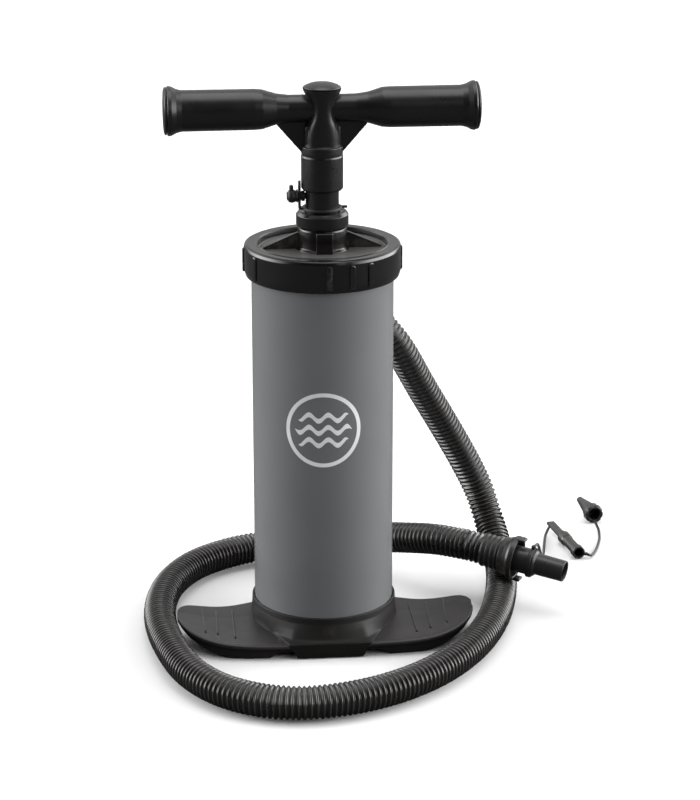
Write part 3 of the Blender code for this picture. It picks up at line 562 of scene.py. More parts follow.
def make_light():
    """A light tent: bright at both sides, dim behind and above, and dark round the camera."""
    middle = (0, 0, 0.2)
    softbox("top_softbox", (0.1, 0.1, 1.9), middle, (1.3, 1.0), 9)
    softbox("front_fill", (0.9, -2.0, 1.5), middle, (0.6, 1.0), 3)
    world = bpy.data.worlds.new("studio")
    bpy.context.scene.world = world
    world.use_nodes = True
    tree = world.node_tree
    tree.nodes.clear()
    way = node(tree, "ShaderNodeTexCoord").outputs["Generated"]
    front = node(tree, "ShaderNodeVectorMath", operation="DOT_PRODUCT")
    tree.links.new(way, front.inputs[0])
    front.inputs[1].default_value = TOWARDS_CAMERA
    parts = node(tree, "ShaderNodeSeparateXYZ")
    tree.links.new(way, parts.inputs[0])
    behind = spread(tree, parts.outputs["Y"], 0, 1, 0.35, 0.85)
    tone = blend_colours(tree, behind, grey(TENT_SIDE), grey(TENT_BACK))
    above = spread(tree, parts.outputs["Z"], 0, 1, 0.30, 0.65)
    tone = blend_colours(tree, above, tone, grey(TENT_TOP))
    open_side = spread(tree, front.outputs["Value"], 1, 0, 0.15, 0.66)
    tone = blend_colours(tree, open_side, grey(TENT_FRONT), tone)
    surround = node(tree, "ShaderNodeBackground")
    surround.inputs["Strength"].default_value = TENT_STRENGTH
    tree.links.new(tone, surround.inputs["Color"])
    seen = node(tree, "ShaderNodeBackground")
    seen.inputs["Color"].default_value = (1, 1, 1, 1)
    path = node(tree, "ShaderNodeLightPath")
    either = node(tree, "ShaderNodeMixShader")
    tree.links.new(path.outputs["Is Camera Ray"], either.inputs[0])
    tree.links.new(surround.outputs[0], either.inputs[1])
    tree.links.new(seen.outputs[0], either.inputs[2])
    out = node(tree, "ShaderNodeOutputWorld")
    tree.links.new(either.outputs[0], out.inputs["Surface"])


FLOOR_REACH = 15
FLOOR_DROP = 0.25
FLOOR_SEEN = (0.93, 0.95)
FLOOR_BOUNCE = 0.10


def make_floor():
    """A pale floor that lights the object less than it shows, as a small stage does."""
    data = bpy.data.meshes.new("studio_floor")
    reach = FLOOR_REACH
    corners = [(-reach, -reach, 0), (reach, -reach, 0), (reach, reach, 0), (-reach, reach, 0)]
    data.from_pydata(corners, [], [(0, 1, 2, 3)])
    floor = bpy.data.objects.new("studio_floor", data)
    floor.location.z = -FLOOR_DROP * MM
    bpy.context.scene.collection.objects.link(floor)
    look = bpy.data.materials.new("pale_floor")
    look.use_nodes = True
    tree = look.node_tree
    shader = tree.nodes["Principled BSDF"]
    shader.inputs["Roughness"].default_value = 0.95
    shader.inputs["Specular IOR Level"].default_value = 0.1
    source = node(tree, "ShaderNodeTexCoord").outputs["Object"]
    patches = spread(tree, noise(tree, source, 3, 2), 0, 1)
    tone = blend_colours(tree, patches, grey(FLOOR_SEEN[0]), grey(FLOOR_SEEN[1]))
    path = node(tree, "ShaderNodeLightPath")
    held = blend_colours(tree, path.outputs["Is Camera Ray"], grey(FLOOR_BOUNCE), tone)
    tree.links.new(held, shader.inputs["Base Color"])
    data.materials.append(look)


# ---------------------------------------------------------------- hose and tethers


def elbow_line(start_y, straight, steps=24):
    corner = Vector((0, ELBOW_BEND_Y, PORT_Z))
    back = Vector((0, 1, 0))
    centre = corner + ELBOW_BEND_R * ELBOW_AIM
    line = [Vector((0, start_y, PORT_Z)), corner]
    for step in range(1, steps + 1):
        turn = math.radians(90 * step / steps)
        line.append(centre + ELBOW_BEND_R * (math.sin(turn) * back - math.cos(turn) * ELBOW_AIM))
    line.append(line[-1] + straight * ELBOW_AIM)
    return line


PUMP_END = elbow_line(0, 0)[-1] + CUFF_START * ELBOW_AIM
FAR_END = NOZZLE_RIM - CUFF_LENGTH * NOZZLE_AIM


def hose_line(spacing):
    first = PUMP_END + 0.3 * ELBOW_AIM
    last = FAR_END - 0.3 * NOZZLE_AIM
    start = [first, first + 12 * ELBOW_AIM]
    finish = [last - 14 * NOZZLE_AIM, last]
    middle = smooth_line([start[1], *HOSE_ROUTE, finish[0]], spacing)
    before = [start[0].lerp(start[1], step / 18) for step in range(18)]
    after = [finish[0].lerp(finish[1], step / 21) for step in range(1, 22)]
    return [*before, *middle, *after]


def make_hose():
    """A corrugated hose: narrow round crests with a wider hollow between them."""
    crest, hollow = HOSE_R - 0.35, 11.8
    line = hose_line(0.66)
    radii, travelled = [], 0.0
    for index, here in enumerate(line):
        if index:
            travelled += (here - line[index - 1]).length
        wave = 0.5 + 0.5 * math.cos(2 * math.pi * travelled / HOSE_PITCH)
        radii.append(hollow + (crest - hollow) * wave**1.2)
    radii[0] = radii[-1] = hollow
    shape = Shape()
    shape.tube(line, radii, 30)
    return shape.finish("hose_corrugated", "hose_plastic", "barrel", "hose", angle=75), line


def tether(name, points, node_name):
    line = smooth_line(points, 1.4)
    shape = Shape()
    shape.tube(line, TETHER_R, 12)
    return shape.finish(name, "fitting_plastic", "barrel", node_name), line


def cuff(name, matrix, node_name):
    """A sleeve ribbed like the hose, flaring to a collar with two ears."""
    ribs = []
    for number in range(4):
        foot = 0.6 + HOSE_PITCH * number
        ribs += [(13.7, foot, 0.9), (14.7, foot + HOSE_PITCH / 2, 1.0)]
    profile = [
        *ribs,
        (13.4, 17.4, 0.6), (15.6, 18.2, 0.8), (16.2, 22.0, 3), (17.6, 25.6, 2),
        (19.25, 28.0, 0.9), (19.3, 31.9, 0.5), (17.1, 32, 0.5), (16.6, 31.2, 0.4),
        (16.6, 26.5, 1), (15.0, 22.0, 1), (15.0, 17.8, 0.5), (12.0, 17.0, 0.6),
        (11.5, 10.0, 0.6), (11.5, 0.6, 0.3),
    ]
    shape = Shape()
    shape.turn(profile, matrix, 112)
    for side in (-1, 1):
        ear = matrix @ moved((side * 18.25, 0, 33.3))
        shape.slab((2.5, 8.8, 8.2), ear, 0.9, 4)
    return shape.finish(name, "fitting_plastic", "barrel", node_name)


def make_nozzle(matrix):
    profile = [
        (8.7, NOZZLE_LENGTH - 0.05, 0.3), (9.2, NOZZLE_LENGTH - 0.8, 0.5), (9.35, 51.5, 1.2),
        (9.5, 50.2, 0.8), (11.3, 48.3, 0.8), (11.4, 46.5, 1), (11.35, 28, 2), (11.4, 24.2, 0.8),
        (14.5, 23.5, 0.5), (14.5, 20.4, 0.5), (7.3, 20.4, 0.3), (7.3, NOZZLE_LENGTH - 2.5, 1),
        (7.8, NOZZLE_LENGTH - 0.3, 0.4),
    ]
    shape = Shape()
    shape.turn(profile, matrix, 96)
    for turn in (20, 200):
        place = matrix @ turned(turn)
        shape.slab((1.2, 1.6, 7), place @ moved((11.0, 0, 30.5)), 0.4)
    return shape.finish("nozzle_body", "fitting_plastic", "nozzle", "nozzle")


def make_tether_ring(matrix):
    profile = [
        (13.1, 46.8, 0.6), (13.15, 43.2, 0.6), (11.85, 43.1, 0.4), (11.85, 46.9, 0.4),
    ]
    shape = Shape()
    shape.turn(profile, matrix, 80)
    shape.slab((3.4, 3.8, 3.5), matrix @ moved((14.1, 0, 45)), 0.7)
    return shape.finish("tether_band", "rubber", "barrel", "tether_ring")


def make_long_adapter():
    matrix = facing(LONG_ADAPTER_MOUTH, LONG_ADAPTER_AIM)
    profile = [
        (0, 57.9), (2.6, 57.9, 0.6), (4.3, 47, 3), (4.6, 43.8, 0.8), (5.85, 42, 0.6),
        (5.85, 33.2, 0.6), (4.9, 31, 0.8), (4.9, 9.2, 0.8), (5.85, 7.6, 0.6), (5.85, 0.1, 0.5),
        (4.4, 0.1, 0.3), (4.0, 1.2, 0.4), (4.0, 15), (0, 15),
    ]
    body = Shape()
    body.turn(profile, matrix, 64)
    slot = Shape()
    slot.slab((3.0, 20, 6.4), matrix @ moved((0, 0, 49.5)), 1.1)
    shape = Shape()
    shape.absorb(carve(body.to_object("adapter_body"), slot))
    shape.slab((2.9, 7.4, 27), matrix @ moved((0, 0, 66.4)), 0.7)
    for side in (-1, 1):
        shape.slab((2.9, 3.0, 12), matrix @ moved((0, side * 2.3, 53)), 0.6)
        shape.slab((1.6, 2.4, 7), matrix @ moved((side * 5.2, 0, 37.6)), 0.4)
    shape.slab((3.4, 3.0, 2.6), moved((250.6, 132.0, 4.7)), 0.7)
    return shape.finish("adapter_long", "fitting_plastic", "barrel", "long_adapter")


def make_cone_adapter():
    matrix = facing(CONE_ADAPTER_MOUTH, CONE_ADAPTER_AIM)
    profile = [
        (1.7, 42.9, 0.3), (2.9, 42.8, 0.5), (6.3, 16.4, 1), (6.7, 10.6, 0.8), (8.1, 9.2, 0.6),
        (8.1, 0.9, 0.6), (7.4, 0.1, 0.4), (5.9, 0.1, 0.3), (5.4, 1.0, 0.4), (5.4, 14, 0.5),
        (4.0, 14.6, 0.5), (1.7, 41),
    ]
    shape = Shape()
    shape.turn(profile, matrix, 72)
    for number in range(8):
        turn = turned(45 * number + 10)
        shape.slab((1.3, 4.4, 7.6), matrix @ turn @ moved((8.1, 0, 4.9)), 0.5)
    return shape.finish("adapter_cone", "fitting_plastic", "barrel", "cone_adapter")


def make_cords():
    pump_matrix = facing(PUMP_END, -ELBOW_AIM)
    far_matrix = facing(FAR_END, NOZZLE_AIM)
    pump_cuff = cuff("cuff_pump_end", pump_matrix, "hose_cuff_pump")
    far_cuff = cuff("cuff_nozzle_end", far_matrix, "hose_cuff_nozzle")
    nozzle = make_nozzle(far_matrix)
    band = make_tether_ring(far_matrix)
    hose, line = make_hose()
    first, first_line = tether("tether_to_long_adapter", TETHER_ONE, "tether_1")
    second, second_line = tether("tether_to_cone_adapter", TETHER_TWO, "tether_2")
    for cord, cord_line, adapter in (
        (first, first_line, make_long_adapter()),
        (second, second_line, make_cone_adapter()),
    ):
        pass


# ---------------------------------------------------------------- base

PEDAL_SAG = 1.6
PEDAL_WALL = 3.0
PEDAL_HALF = 124.4
# x, front edge y, lip z, skirt foot z, rear edge y, rear edge z, of the right pedal
PEDAL_STATIONS = [
    (0, -66.2, 12.5, 0, 20, 22), (14, -66.4, 12.5, 0, 20, 22), (34, -67, 12.5, 0, 19, 21.5),
    (52, -67, 12.8, 0, 17, 20.5), (66, -66.4, 13.2, 0, 12, 20), (80, -64.4, 13.9, 0, 6.4, 20.4),
    (93, -60.6, 15.2, 2.5, 3.8, 21.4), (105, -54, 17.2, 7, 2.8, 23),
    (115, -44.6, 19.6, 11.5, 1.4, 24.6), (121.5, -34, 21.8, 16, -3, 25),
    (124.4, -24, 23.2, 18.6, -9, 24.6),
]


def through_table(rows, place):
    """The other columns of a table at a place in its first column, on a smooth curve."""
    for index in range(len(rows) - 1):
        if place <= rows[index + 1][0]:
            break
    before = rows[max(0, index - 1)]
    near, far = rows[index], rows[index + 1]
    after = rows[min(len(rows) - 1, index + 2)]
    span = far[0] - near[0]
    t = (place - near[0]) / span
    made = []
    for a, b, c, d in list(zip(before, near, far, after))[1:]:
        start_slope = (c - a) / (far[0] - before[0]) * span
        end_slope = (d - b) / (after[0] - near[0]) * span
        made.append(
            (2 * t**3 - 3 * t**2 + 1) * b
            + (t**3 - 2 * t**2 + t) * start_slope
            + (3 * t**2 - 2 * t**3) * c
            + (t**3 - t**2) * end_slope
        )
    return made


def station(x):
    """The pedal's measures at a distance from the middle."""
    return through_table(PEDAL_STATIONS, abs(x))


def pedal_top(x, y):
    """Height of the pedal's top at a point."""
    front, lip, _, rear, back = station(x)
    depth = rear - front
    knots = [
        (front + 2.6, lip),
        (front + 0.35 * depth, lip + 0.35 * (back - lip) - PEDAL_SAG),
        (front + 0.72 * depth, lip + 0.72 * (back - lip) - PEDAL_SAG),
        (rear - 1.6, back),
    ]
    for (y0, z0), (y1, z1) in zip(knots, knots[1:]):
        if y <= y1:
            break
    t = min(1, max(0, (y - y0) / (y1 - y0)))
    return z0 + (z1 - z0) * t


NOTCH_EDGES = (27, 28.5, 42, 50)
NOTCH_RISE = 4.4


def notch(x):
    """How far the skirt's foot is raised: a low arch on each side of the middle."""
    start, full, falling, end = NOTCH_EDGES
    x = abs(x)
    rise = min((x - start) / (full - start), (end - x) / (end - falling), 1)
    return NOTCH_RISE * max(0, rise)


def pedal_row(x):
    """The pedals' section at x: a thin skin with a turned-down front lip."""
    front, lip, skirt, rear, back = station(x)
    depth = rear - front
    wall = PEDAL_WALL
    foot = max(skirt, notch(x))
    tip = min(1.0, max(0.0, (PEDAL_HALF - abs(x)) / 8))
    middle = lip + 0.35 * (back - lip) - PEDAL_SAG
    hind = lip + 0.72 * (back - lip) - PEDAL_SAG
    hem = back - 9 if abs(x) > 60 else 2
    inner_y = front + 5 + wall
    low = [
        (rear - wall, hem), (rear - wall, back - 2 - wall), (front + 0.72 * depth, hind - wall),
        (front + 0.35 * depth, middle - wall), (inner_y, lip - 5 - wall * 0.5), (inner_y, foot),
    ]
    flat = []
    for index, (y, z) in enumerate(low):
        t = index / (len(low) - 1)
        straight = (rear - 0.4 + t * (front + 5.8 - rear), hem + t * (foot - hem))
        flat.append((straight[0] + (y - straight[0]) * tip, straight[1] + (z - straight[1]) * tip))
    outline = [
        (front + 5, foot, 0.4), (front + 5, lip - 5.4, 0.8), (front + 0.9, lip - 4.0, 0.9),
        (front, lip - 2.6, 1.2), (front + 0.5, lip - 0.7, 1.2), (front + 2.8, lip + 0.1, 1.4),
        (front + 5.4, lip - 0.5, 1.4), (front + 0.35 * depth, middle, 8),
        (front + 0.72 * depth, hind, 8), (rear - 1.8, back, 1.6), (rear, back - 1.8, 1.2),
        (rear, hem, 0.4),
        *[(y, z, 0.3) for y, z in flat],
    ]
    return [(x, p.x, p.y) for p in rounded(outline, closed=True, steps=4)]


# x, y at the back and x, y at the front of each grip line on the pedals
GRIP_LINES = [
    (-103.2, -4.6, -101.9, -40.4), (-91.6, -4.6, -91.8, -42.4), (-77.8, -2.6, -77.8, -48.6),
    (72.4, -1.6, 73.7, -48.3), (87.2, -2.0, 85.8, -44.4), (102.0, -1.3, 100.5, -38.3),
]
TONGUE_HALF = 34
APRON_FRONT = -66.7
APRON_END = (60.8, -13)


def apron_foot(degrees):
    """Where the apron's edge lies on the pedals at an angle from the front."""
    way = Vector((math.sin(math.radians(abs(degrees))), -math.cos(math.radians(degrees))))
    corner = Vector((TONGUE_HALF, APRON_FRONT))
    if way.x / -way.y <= TONGUE_HALF / -APRON_FRONT:
        return APRON_FRONT / way.y
    edge = Vector(APRON_END) - corner
    return corner.cross(edge) / way.cross(edge)


def make_apron(shape):
    """The fairing that runs from the ring down to the front edge, and its tongue to the floor."""
    corner = math.degrees(math.atan2(TONGUE_HALF, -APRON_FRONT))
    last = math.degrees(math.atan2(APRON_END[0], -APRON_END[1]))
    angles = [corner * step / 12 for step in range(13)]
    angles += [corner + (last - corner) * step / 24 for step in range(1, 25)]
    angles = [-angle for angle in reversed(angles[1:])] + angles
    rows = []
    for angle in angles:
        reach = apron_foot(angle)
        foot = around(reach, angle)
        low = pedal_top(foot.x, foot.y) + 0.1
        run = reach - 60.6
        profile = [
            (60.15, 28.5, 0.2), (60.55, 26.5, 0.8), (61.0 + 0.16 * run, 22.0, 3),
            (61.2 + 0.5 * run, low + 2.2, 3), (reach - 0.3, low + 0.9, 0.5),
            (reach, low - 0.6, 0.5), (reach - 0.8, low - 2.2, 0.2), (59.4, low - 2.4, 0.2),
            (59.4, 28.5, 0.2),
        ]
        rows.append([around(p.x, angle, p.y) for p in rounded(profile, closed=True, steps=4)])
    shape.rows(rows)
    outline = [(-33.8, 13.1), (33.8, 13.1), (27.6, 0.9), (-27.6, 0.9)]
    shape.prism(outline, 7, moved((0, -63.9, 0)), 0.7)


def make_base():
    """Two pieces stand for the base: the pedals, and the ring with its apron and nubs, painted
    darker than the pedals as painted shade.
    """
    xs = [PEDAL_HALF, 124.1, 123.2, 121.8, 120]
    xs += [117.5 - 2.5 * step for step in range(47)]
    xs = sorted({round(x, 3) for x in [*xs, *NOTCH_EDGES, 0] if x >= 0}, reverse=True)
    xs = [*xs, *[-x for x in reversed(xs) if x > 0]]
    pedals = Shape()
    pedals.rows([pedal_row(x) for x in xs])
    socket = Shape()
    socket.turn([(0, 60), (59.4, 60), (59.4, 8.2), (0, 8.2)], steps=128)
    recess = Shape()
    recess.turn([(0, 8.3), (60.7, 8.3), (60.7, -9), (0, -9)], steps=128)
    dimples = []
    for _, _, x, y in GRIP_LINES:
        dimple = Shape()
        place = moved((x, y - 1.2, pedal_top(x, y) - 1.1))
        dimple.turn([(0, 6), (1.35, 6), (1.1, 0), (0, 0)], place, 20)
        dimples.append(dimple)
    shape = Shape()
    shape.absorb(carve(pedals.to_object("pedals", 38), socket, recess, *dimples, angle=38))
    for x0, y0, x1, y1 in GRIP_LINES:
        line = []
        for step in range(25):
            x = x0 + (x1 - x0) * step / 24
            y = y0 + (y1 + 1 - y0) * step / 24
            line.append((x, y, pedal_top(x, y) - 0.3))
        shape.tube(line, 0.8, 10)
    shape.finish("foot_pedals", "foot_plastic", "barrel", "base", angle=38)
    ring = [
        (58.35, 32.3, 0.3), (59.4, 32.5, 0.5), (60.2, 31.9, 0.5), (60.45, 26, 3), (61.2, 17, 6),
        (62.9, 9, 6), (64.9, 1.0, 0.5), (60.7, 1.0, 0.4), (60.7, 5.8, 0.5), (22, 5.8, 0.5),
        (22, 9.6, 0.5), (58.35, 9.6, 0.3),
    ]
    trim = Shape()
    trim.turn(ring, steps=160)
    make_apron(trim)
    for x in (-20, 4, 27):
        nub = [(0, 3), (2.1, 3), (2.2, 1.2, 0.4), (1.7, 0.2, 0.8), (0, 0.02)]
        trim.turn(nub, moved((x, -62.6, 0)), 24)
    trim.finish("foot_ring", "ring_plastic", "barrel", "base", angle=38)


# ---------------------------------------------------------------- cylinder, ring, cover and gland


def make_cylinder():
    profile = [
        (58.0, 10.2, 0.3), (56.0, 10.2, 0.3), (56.0, 321.9, 0.3), (60.3, 321.9, 0.5),
        (60.3, 316.2, 0.4), (58.0, 315.6, 0.4),
    ]
    body = Shape()
    body.turn(profile, steps=192)
    notches = []
    for number in range(4):
        angle = 45 + 90 * number
        cutter = Shape()
        place = moved(around(61.6, angle, CYLINDER_TOP))
        cutter.slab((22, 6, 20), place @ turned(angle), 0)
        notches.append(cutter)
    port = Shape()
    port.turn([(0, 80), (11.45, 80), (11.45, 40), (0, 40)], facing((0, 0, PORT_Z), (0, 1, 0)), 72)
    shape = Shape()
    shape.absorb(carve(body.to_object("barrel_body"), *notches, port))
    boss = [
        (16.2, 56.8, 0.2), (15.1, 59.5, 1.6), (14.9, 67.9, 0.7), (13.7, 67.9, 0.3),
        (13.7, 65.6, 0.2), (11.5, 65.6, 0.3), (11.5, 56.8, 0.2),
    ]
    shape.turn(boss, facing((0, 0, PORT_Z), (0, 1, 0)), 96)
    shape.finish("barrel_shell", "grey_shell", "barrel", "outer_cylinder")


def on_shell(u, v, proud, middle_angle, middle_z):
    """A point on the barrel, u mm round from the mark's middle and v mm up from it."""
    degrees = middle_angle + math.degrees(u / CYLINDER_R)
    return around(CYLINDER_R + proud, degrees, middle_z + v)


def make_mark():
    """A plain printed roundel: a ring with three waves."""
    angle, height, low, high = -4.6, 196, -0.1, 0.12
    shape = Shape()
    rows = []
    for step in range(144):
        turn = 2 * math.pi * step / 144
        row = []
        for radius, proud in ((31.5, low), (31.5, high), (28.2, high), (28.2, low)):
            u, v = radius * math.cos(turn), radius * math.sin(turn)
            row.append(on_shell(u, v, proud, angle, height))
        rows.append(row)
    shape.rows(rows, ring=True)
    for level, half in ((10.5, 20.5), (0, 23.5), (-10.5, 20.5)):
        rows = []
        count = 64
        for step in range(count + 1):
            u = -half + 2 * half * step / count
            wave = 2.6 * math.sin(2 * math.pi * u / 15.6)
            taper = min(1.0, (half - abs(u)) / 4 + 0.12)
            row = []
            for side, proud in ((-1, low), (-1, high), (1, high), (1, low)):
                v = level + wave + side * 2.1 * taper
                row.append(on_shell(u, v, proud, angle, height))
            rows.append(row)
        shape.rows(rows)
    shape.finish("printed_mark", "white_print", "barrel", angle=60)


def make_cap_ring():
    profile = [
        (52.8, 333.6, 0.3), (52.6, 337.6, 0.4), (53.2, 338.2, 0.3), (54.1, 338.1, 0.3),
        (54.6, 337.5, 0.3), (61.2, 337.9, 1.6), (63.2, 337.0, 1.2), (63.9, 334.6, 1.6),
        (63.9, 316.4, 1.5), (62.4, 311.6, 1.0), (61.0, 311.0, 0.3), (61.0, 333.5, 0.3),
    ]
    shape = Shape()
    shape.turn(profile, steps=192)
    for number in range(4):
        angle = 90 * number
        place = moved(around(60, angle, 313.5))
        shape.slab((17.6, 3.0, 3.6), place @ turned(angle), 0.3)
    right = [(2.5, -9.8), (2.5, 7.6), (1.8, 9.2)]
    rib = [(-2.5, -9.8), *right, (0, 10), (-1.8, 9.2), (-2.5, 7.6)]
    for turn in (0, 180):
        for angle in RING_RIB_ANGLES:
            place = moved(around(63.75, angle + turn, 324.4))
            place = place @ turned(angle + turn)
            shape.prism(rib, 2.7, place, 0.8)
    shape.finish("cap_ring_body", "black_plastic", "cap", "cap_ring")


def make_top_cover():
    """Two pieces stand for the cover: the plate, and the neck with its gussets and tab. The plate
    is painted lighter than the neck, a painted reflection.
    """
    profile = [
        (18.0, 333.2, 0.3), (49.6, 333.2, 0.4), (50.6, 332.6, 0.4), (51.4, 332.6, 0.4),
        (52.2, 333.2, 0.3), (60.2, 333.2, 0.3), (60.2, 327.9, 0.3), (18.0, 327.9, 0.3),
    ]
    disc = Shape()
    disc.turn(profile, steps=160)
    ways = []
    for angle in (150, 165, 195, 210):
        way = Shape()
        place = moved(around(32, angle))
        way.turn([(0, 340), (2.5, 340), (2.5, 320), (0, 320)], place, 32)
        ways.append(way)
    plate = Shape()
    plate.absorb(carve(disc.to_object("disc"), *ways))
    plate.finish("cover_disc", "cover_plastic", "barrel", "top_cover")
    neck = [
        (17.0, NECK_TOP, 0.3), (19.7, NECK_TOP, 0.5), (20.0, 349.5, 0.4), (20.0, 335.2, 1.5),
        (21.8, 333.4, 0.6), (21.8, 328.4, 0.3), (17.0, 328.4, 0.3),
    ]
    shape = Shape()
    shape.turn(neck, steps=128)
    for side in (-1, 1):
        outline = [(18.5, 346.8), (21, 346.4), (48.2, 334.6), (48.2, 332.8), (18.5, 332.8)]
        outline = [(side * x, z) for x, z in (outline if side > 0 else reversed(outline))]
        shape.prism(outline, 3.4, None, 0.5)
    shape.slab((13.8, 5.4, 17.6), moved((0, -20.4, 341.4)), 1.1, 4)
    shape.finish("cover_neck", "black_plastic", "barrel", "top_cover")


def make_gland():
    profile = [
        (14.3, 363.2, 0.4), (17.2, 363.2, 0.3), (17.9, GLAND_TOP, 0.4), (19.2, GLAND_TOP, 0.5),
        (21.3, 361.6, 0.6), (21.3, 353.0, 0.8), (20.3, 351.4, 0.5), (16.6, 351.3, 0.3),
        (16.6, 345.4, 0.3), (14.3, 345.4, 0.3),
    ]
    shape = Shape()
    shape.turn(profile, steps=128)
    shape.finish("gland_collar", "black_plastic", "barrel", "gland_nut")


# ---------------------------------------------------------------- shaft, handle and plug


def make_shaft():
    profile = [
        (10.9, 38.4, 0.3), (13.3, 38.4, 0.4), (SHAFT_R, 40, 0.6), (SHAFT_R, 408.8, 0.6),
        (12.9, 409.4, 0.3), (10.9, 409.4, 0.3),
    ]
    shape = Shape()
    shape.turn(list(reversed(profile)), steps=96)
    shaft = shape.to_object("shaft_tube")
    hole = Shape()
    hole.turn([(0, 22), (3, 22), (3, 0), (0, 0)], facing((0, 0, VENT_Z), (-1, 0, 0)), 40)
    settle(carve(shaft, hole), "black_plastic", "rod", "shaft")


# height, half width and half depth of the stem's sections
STEM_SECTIONS = [
    (416, 15.4, 15.2), (420, 14.9, 15.1), (427, 14.5, 15), (435, 13, 15), (442, 10.3, 15),
    (448, 9.4, 15), (453, 10, 15.2), (458, 12.4, 15.4), (462, 14.8, 15.5), (464.4, 15.5, 15.6),
]


def stem_section(z):
    """Half width and half depth of the stem at a height."""
    return through_table(STEM_SECTIONS, z)


def squarish(half_x, half_y, z, power=2.5, steps=72):
    """A section between an ellipse and a rectangle."""
    row = []
    for step in range(steps):
        turn = 2 * math.pi * step / steps
        c, s = math.cos(turn), math.sin(turn)
        x = half_x * math.copysign(abs(c) ** (2 / power), c)
        y = half_y * math.copysign(abs(s) ** (2 / power), s)
        row.append((x, y, z))
    return row


def make_handle():
    end = HANDLE_HALF - 3.5
    half = [
        (12.4, end, 0.3), (19.3, end, 0.5), (20.0, end - 1.0, 0.5), (19.6, end - 3.4, 1.2),
        (17.6, end - 7.2, 2.5), (16.5, end - 11.5, 3), (16.35, 54, 6), (15.9, 48, 8),
        (12.4, 36.5, 9), (11.2, 27, 8), (11.1, 10),
    ]
    mirrored = [(point[0], -point[1], *point[2:]) for point in reversed(half)]
    inner = [(12.4, -60, 0.5), (0.0, -60)]
    outer = [(0, 60), (12.4, 60, 0.5), *half, *mirrored, *inner]
    shape = Shape()
    along = facing((0, 0, HANDLE_Z), (1, 0, 0))
    shape.turn(outer, along, 112)
    rows = [squarish(*stem_section(416 + 0.8 * step), 416 + 0.8 * step) for step in range(61)]
    shape.rows(rows)
    collar = [
        (13.85, COLLAR_Z0 + 0.1, 0.4), (15.6, COLLAR_Z0, 0.3), (COLLAR_R, COLLAR_Z0 + 1.6, 0.6),
        (COLLAR_R, 409, 1), (16.6, 410.4, 0.8), (COLLAR_R - 0.2, 412, 0.8),
        (COLLAR_R - 0.2, 417.2, 0.8), (15.4, COLLAR_TOP, 0.5), (13.85, COLLAR_TOP, 0.3),
    ]
    shape.turn(collar, steps=112)
    floor = [(0, 419), (14.6, 419), (14.6, 409.9), (0, 409.9)]
    shape.turn(floor, steps=64)
    web = [(-37, 441), (-36.5, 435.4), (-15.6, 411.4), (15.6, 411.4), (36.5, 435.4), (37, 441)]
    shape.prism(web, 5.2, None, 0.8)
    for side in (-1, 1):
        cheek = moved((side * 12.4, 0, 427.5))
        shape.slab((3.2, 19, 15), cheek, 1.2, 4)
    shape.finish("handle_body", "handle_plastic", "rod", "handle")


def make_end_caps():
    profile = [
        (0, 3.15), (10, 3.0, 4), (16.4, 2.6, 2), (18.9, 1.7, 1.0), (19.35, 0.1, 0.5),
        (12.0, 0.0, 0.3), (12.0, -15.9, 0.5), (9.6, -15.9, 0.5), (9.6, -0.2, 0.4), (0, -0.2),
    ]
    for label, side in (("left", -1), ("right", 1)):
        shape = Shape()
        place = facing((side * (HANDLE_HALF - 3.2), 0, HANDLE_Z), (side, 0, 0))
        shape.turn(profile, place, 96)
        shape.finish(f"grip_cap_{label}", "handle_plastic", "rod", f"end_cap_{label}")


def make_dome():
    profile = [
        (0, 468.95), (5.0, 468.75, 3), (9.4, 467.9, 4), (13.2, 466.4, 3), (15.2, 465.2, 0.5),
        (15.2, 464.6, 0.3), (6.0, 464.6, 0.3), (6.0, 459.1, 0.3), (0, 459.1),
    ]
    shape = Shape()
    shape.turn(profile, steps=96)
    shape.finish("dome_top", "handle_plastic", "rod", "dome_cap")


def make_handle_screw():
    profile = [
        (0, 0), (2.2, -0.2, 0.6), (3.6, -1.0, 0.5), (3.75, -2.1, 0.2), (1.8, -2.15, 0.2),
        (1.8, -9.9), (0, -9.9),
    ]
    shape = Shape()
    place = facing((0, COLLAR_R + 2.5, 402), (0, 1, 0))
    shape.turn(profile, place, 48)
    screw = shape.to_object("collar_screw")
    cross = Shape()
    cross.slab((4.6, 0.8, 2.4), place, 0)
    other = Shape()
    other.slab((0.8, 4.6, 2.4), place, 0)
    settle(carve(screw, cross, other), "steel", "rod", "handle_screw")


def make_plug():
    profile = [
        (0, 15.15), (2.8, 14.9, 1.2), (4.9, 13.6, 1.4), (5.6, 11.2, 1.5), (5.1, 8.8, 0.9),
        (4.3, 8.0, 0.5), (5.2, 7.2, 0.6), (5.35, 6.4, 0.3), (3.3, 6.2, 0.2), (3.3, 3.6, 0.2),
        (4.25, 3.4, 0.3), (4.25, 0.7, 0.4), (2.6, 0.5, 0.2), (2.6, -3.8, 0.4), (0, -3.9),
    ]
    shape = Shape()
    place = facing((-SHAFT_R, 0, VENT_Z), (-1, 0, 0))
    shape.turn(profile, place, 64)
    shape.slab((3.3, 4.8, 7.8), moved((-25, 0, VENT_Z + 5.2)), 1.3, 4)
    shape.slab((2.2, 6.4, 6.4), moved((-27.6, 0, VENT_Z)), 0.8, 3)
    shape.finish("plug_knob", "rubber", "plug", "action_plug")


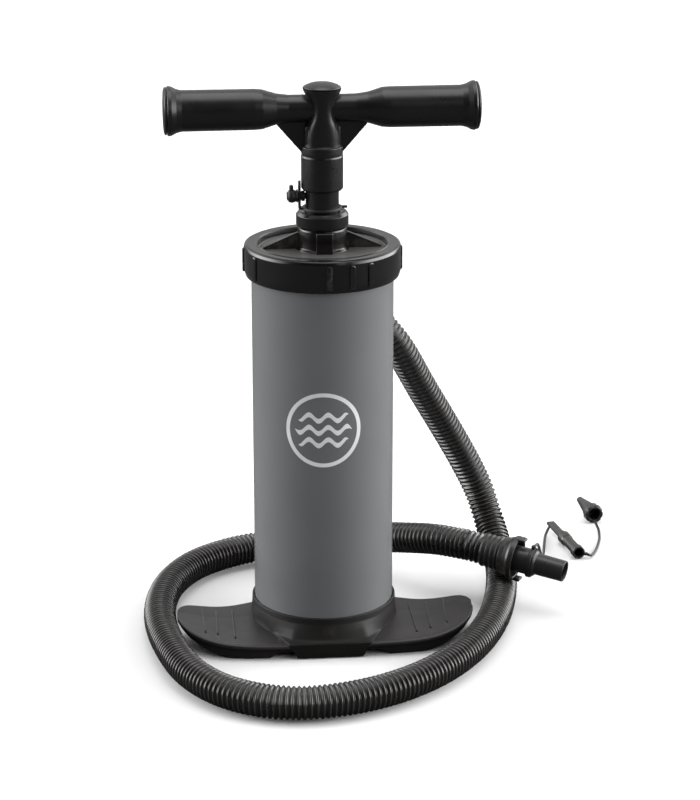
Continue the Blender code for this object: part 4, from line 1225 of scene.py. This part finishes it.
def make_strap():
    """The strap's ring, tail and tongue, made in one piece that is attached to no body."""
    foot, tip_middle, thick, eye, tip = 366.0, 385.6, 0.95, 6.2, 3.6
    rows = []
    for step in range(47):
        z = foot + 0.5 * step
        rise = abs(z - VENT_Z)
        half = max(3.4, math.sqrt(max(0, eye**2 - rise**2)))
        half = min(half, math.sqrt(max(0.2, tip**2 - max(0, z - tip_middle) ** 2)))
        lean = 0.15 * math.sin(math.pi * (z - foot) / 27)
        corners = [(x * thick, y * half, 0.7) for x, y in ((-1, -1), (1, -1), (1, 1), (-1, 1))]
        outline = rounded(corners, closed=True, steps=3)
        rows.append([(-18.35 - lean + p.x, p.y, z) for p in outline])
    tongue = Shape()
    tongue.rows(rows)
    hole = Shape()
    hole.turn([(0, 9), (3.6, 9), (3.6, 0), (0, 0)], facing((-SHAFT_R, 0, VENT_Z), (-1, 0, 0)), 32)
    ring = [
        (13.95, 367.7, 0.3), (16.1, 367.6, 0.4), (16.15, 365.5, 0.4), (13.95, 365.5, 0.3),
    ]
    shape = Shape()
    shape.absorb(carve(tongue.to_object("tongue"), hole))
    shape.turn(ring, steps=80)
    shape.slab((4.3, 7.0, 1.8), moved((-16.95, 0, 366.6)), 0.5)
    shape.slab((5.8, 2.8, 2.0), moved((17.5, 1, 366.6)), 0.6)
    strap = settle(shape.to_object("plug_strap_loop"), "rubber", None, "plug_strap")
    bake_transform(strap)


# ---------------------------------------------------------------- outlet elbow


def make_elbow():
    tube = Shape()
    tube.tube(elbow_line(57.2, 23.6), 11.0, 56)
    way = Shape()
    way.tube(elbow_line(56.4, 24.4), 8.5, 48)
    collar = [
        (10.6, 71.6, 0.3), (14.2, 71.2, 0.6), (14.95, 70.0, 0.5), (14.95, 68.4, 0.4),
        (10.6, 68.4, 0.3),
    ]
    shape = Shape()
    shape.absorb(carve(tube.to_object("elbow_tube"), way))
    shape.turn(collar, facing((0, 0, PORT_Z), (0, 1, 0)), 80)
    shape.finish("elbow_outlet", "black_plastic", "barrel", "outlet_elbow")


# ---------------------------------------------------------------- making it

make_camera()
make_cords()
make_light()
make_floor()

make_base()
make_cylinder()
make_mark()
make_cap_ring()
make_top_cover()
make_gland()
make_shaft()
make_handle()
make_end_caps()
make_dome()
make_handle_screw()
make_plug()
make_strap()
make_elbow()

# What stays as the CAD made it takes the finish of its slot.
for part in frame["record"]["subparts"]:
    kept = frame["nodes"][part["node"]]
    if not kept.hide_render:
        kept.data.materials.clear()
        kept.data.materials.append(LOOKS[part["material_slot"]])
        kept.data.shade_smooth()
        kept.data.set_sharp_from_angle(angle=math.radians(32))

bpy.context.scene.view_settings.view_transform = "Standard"
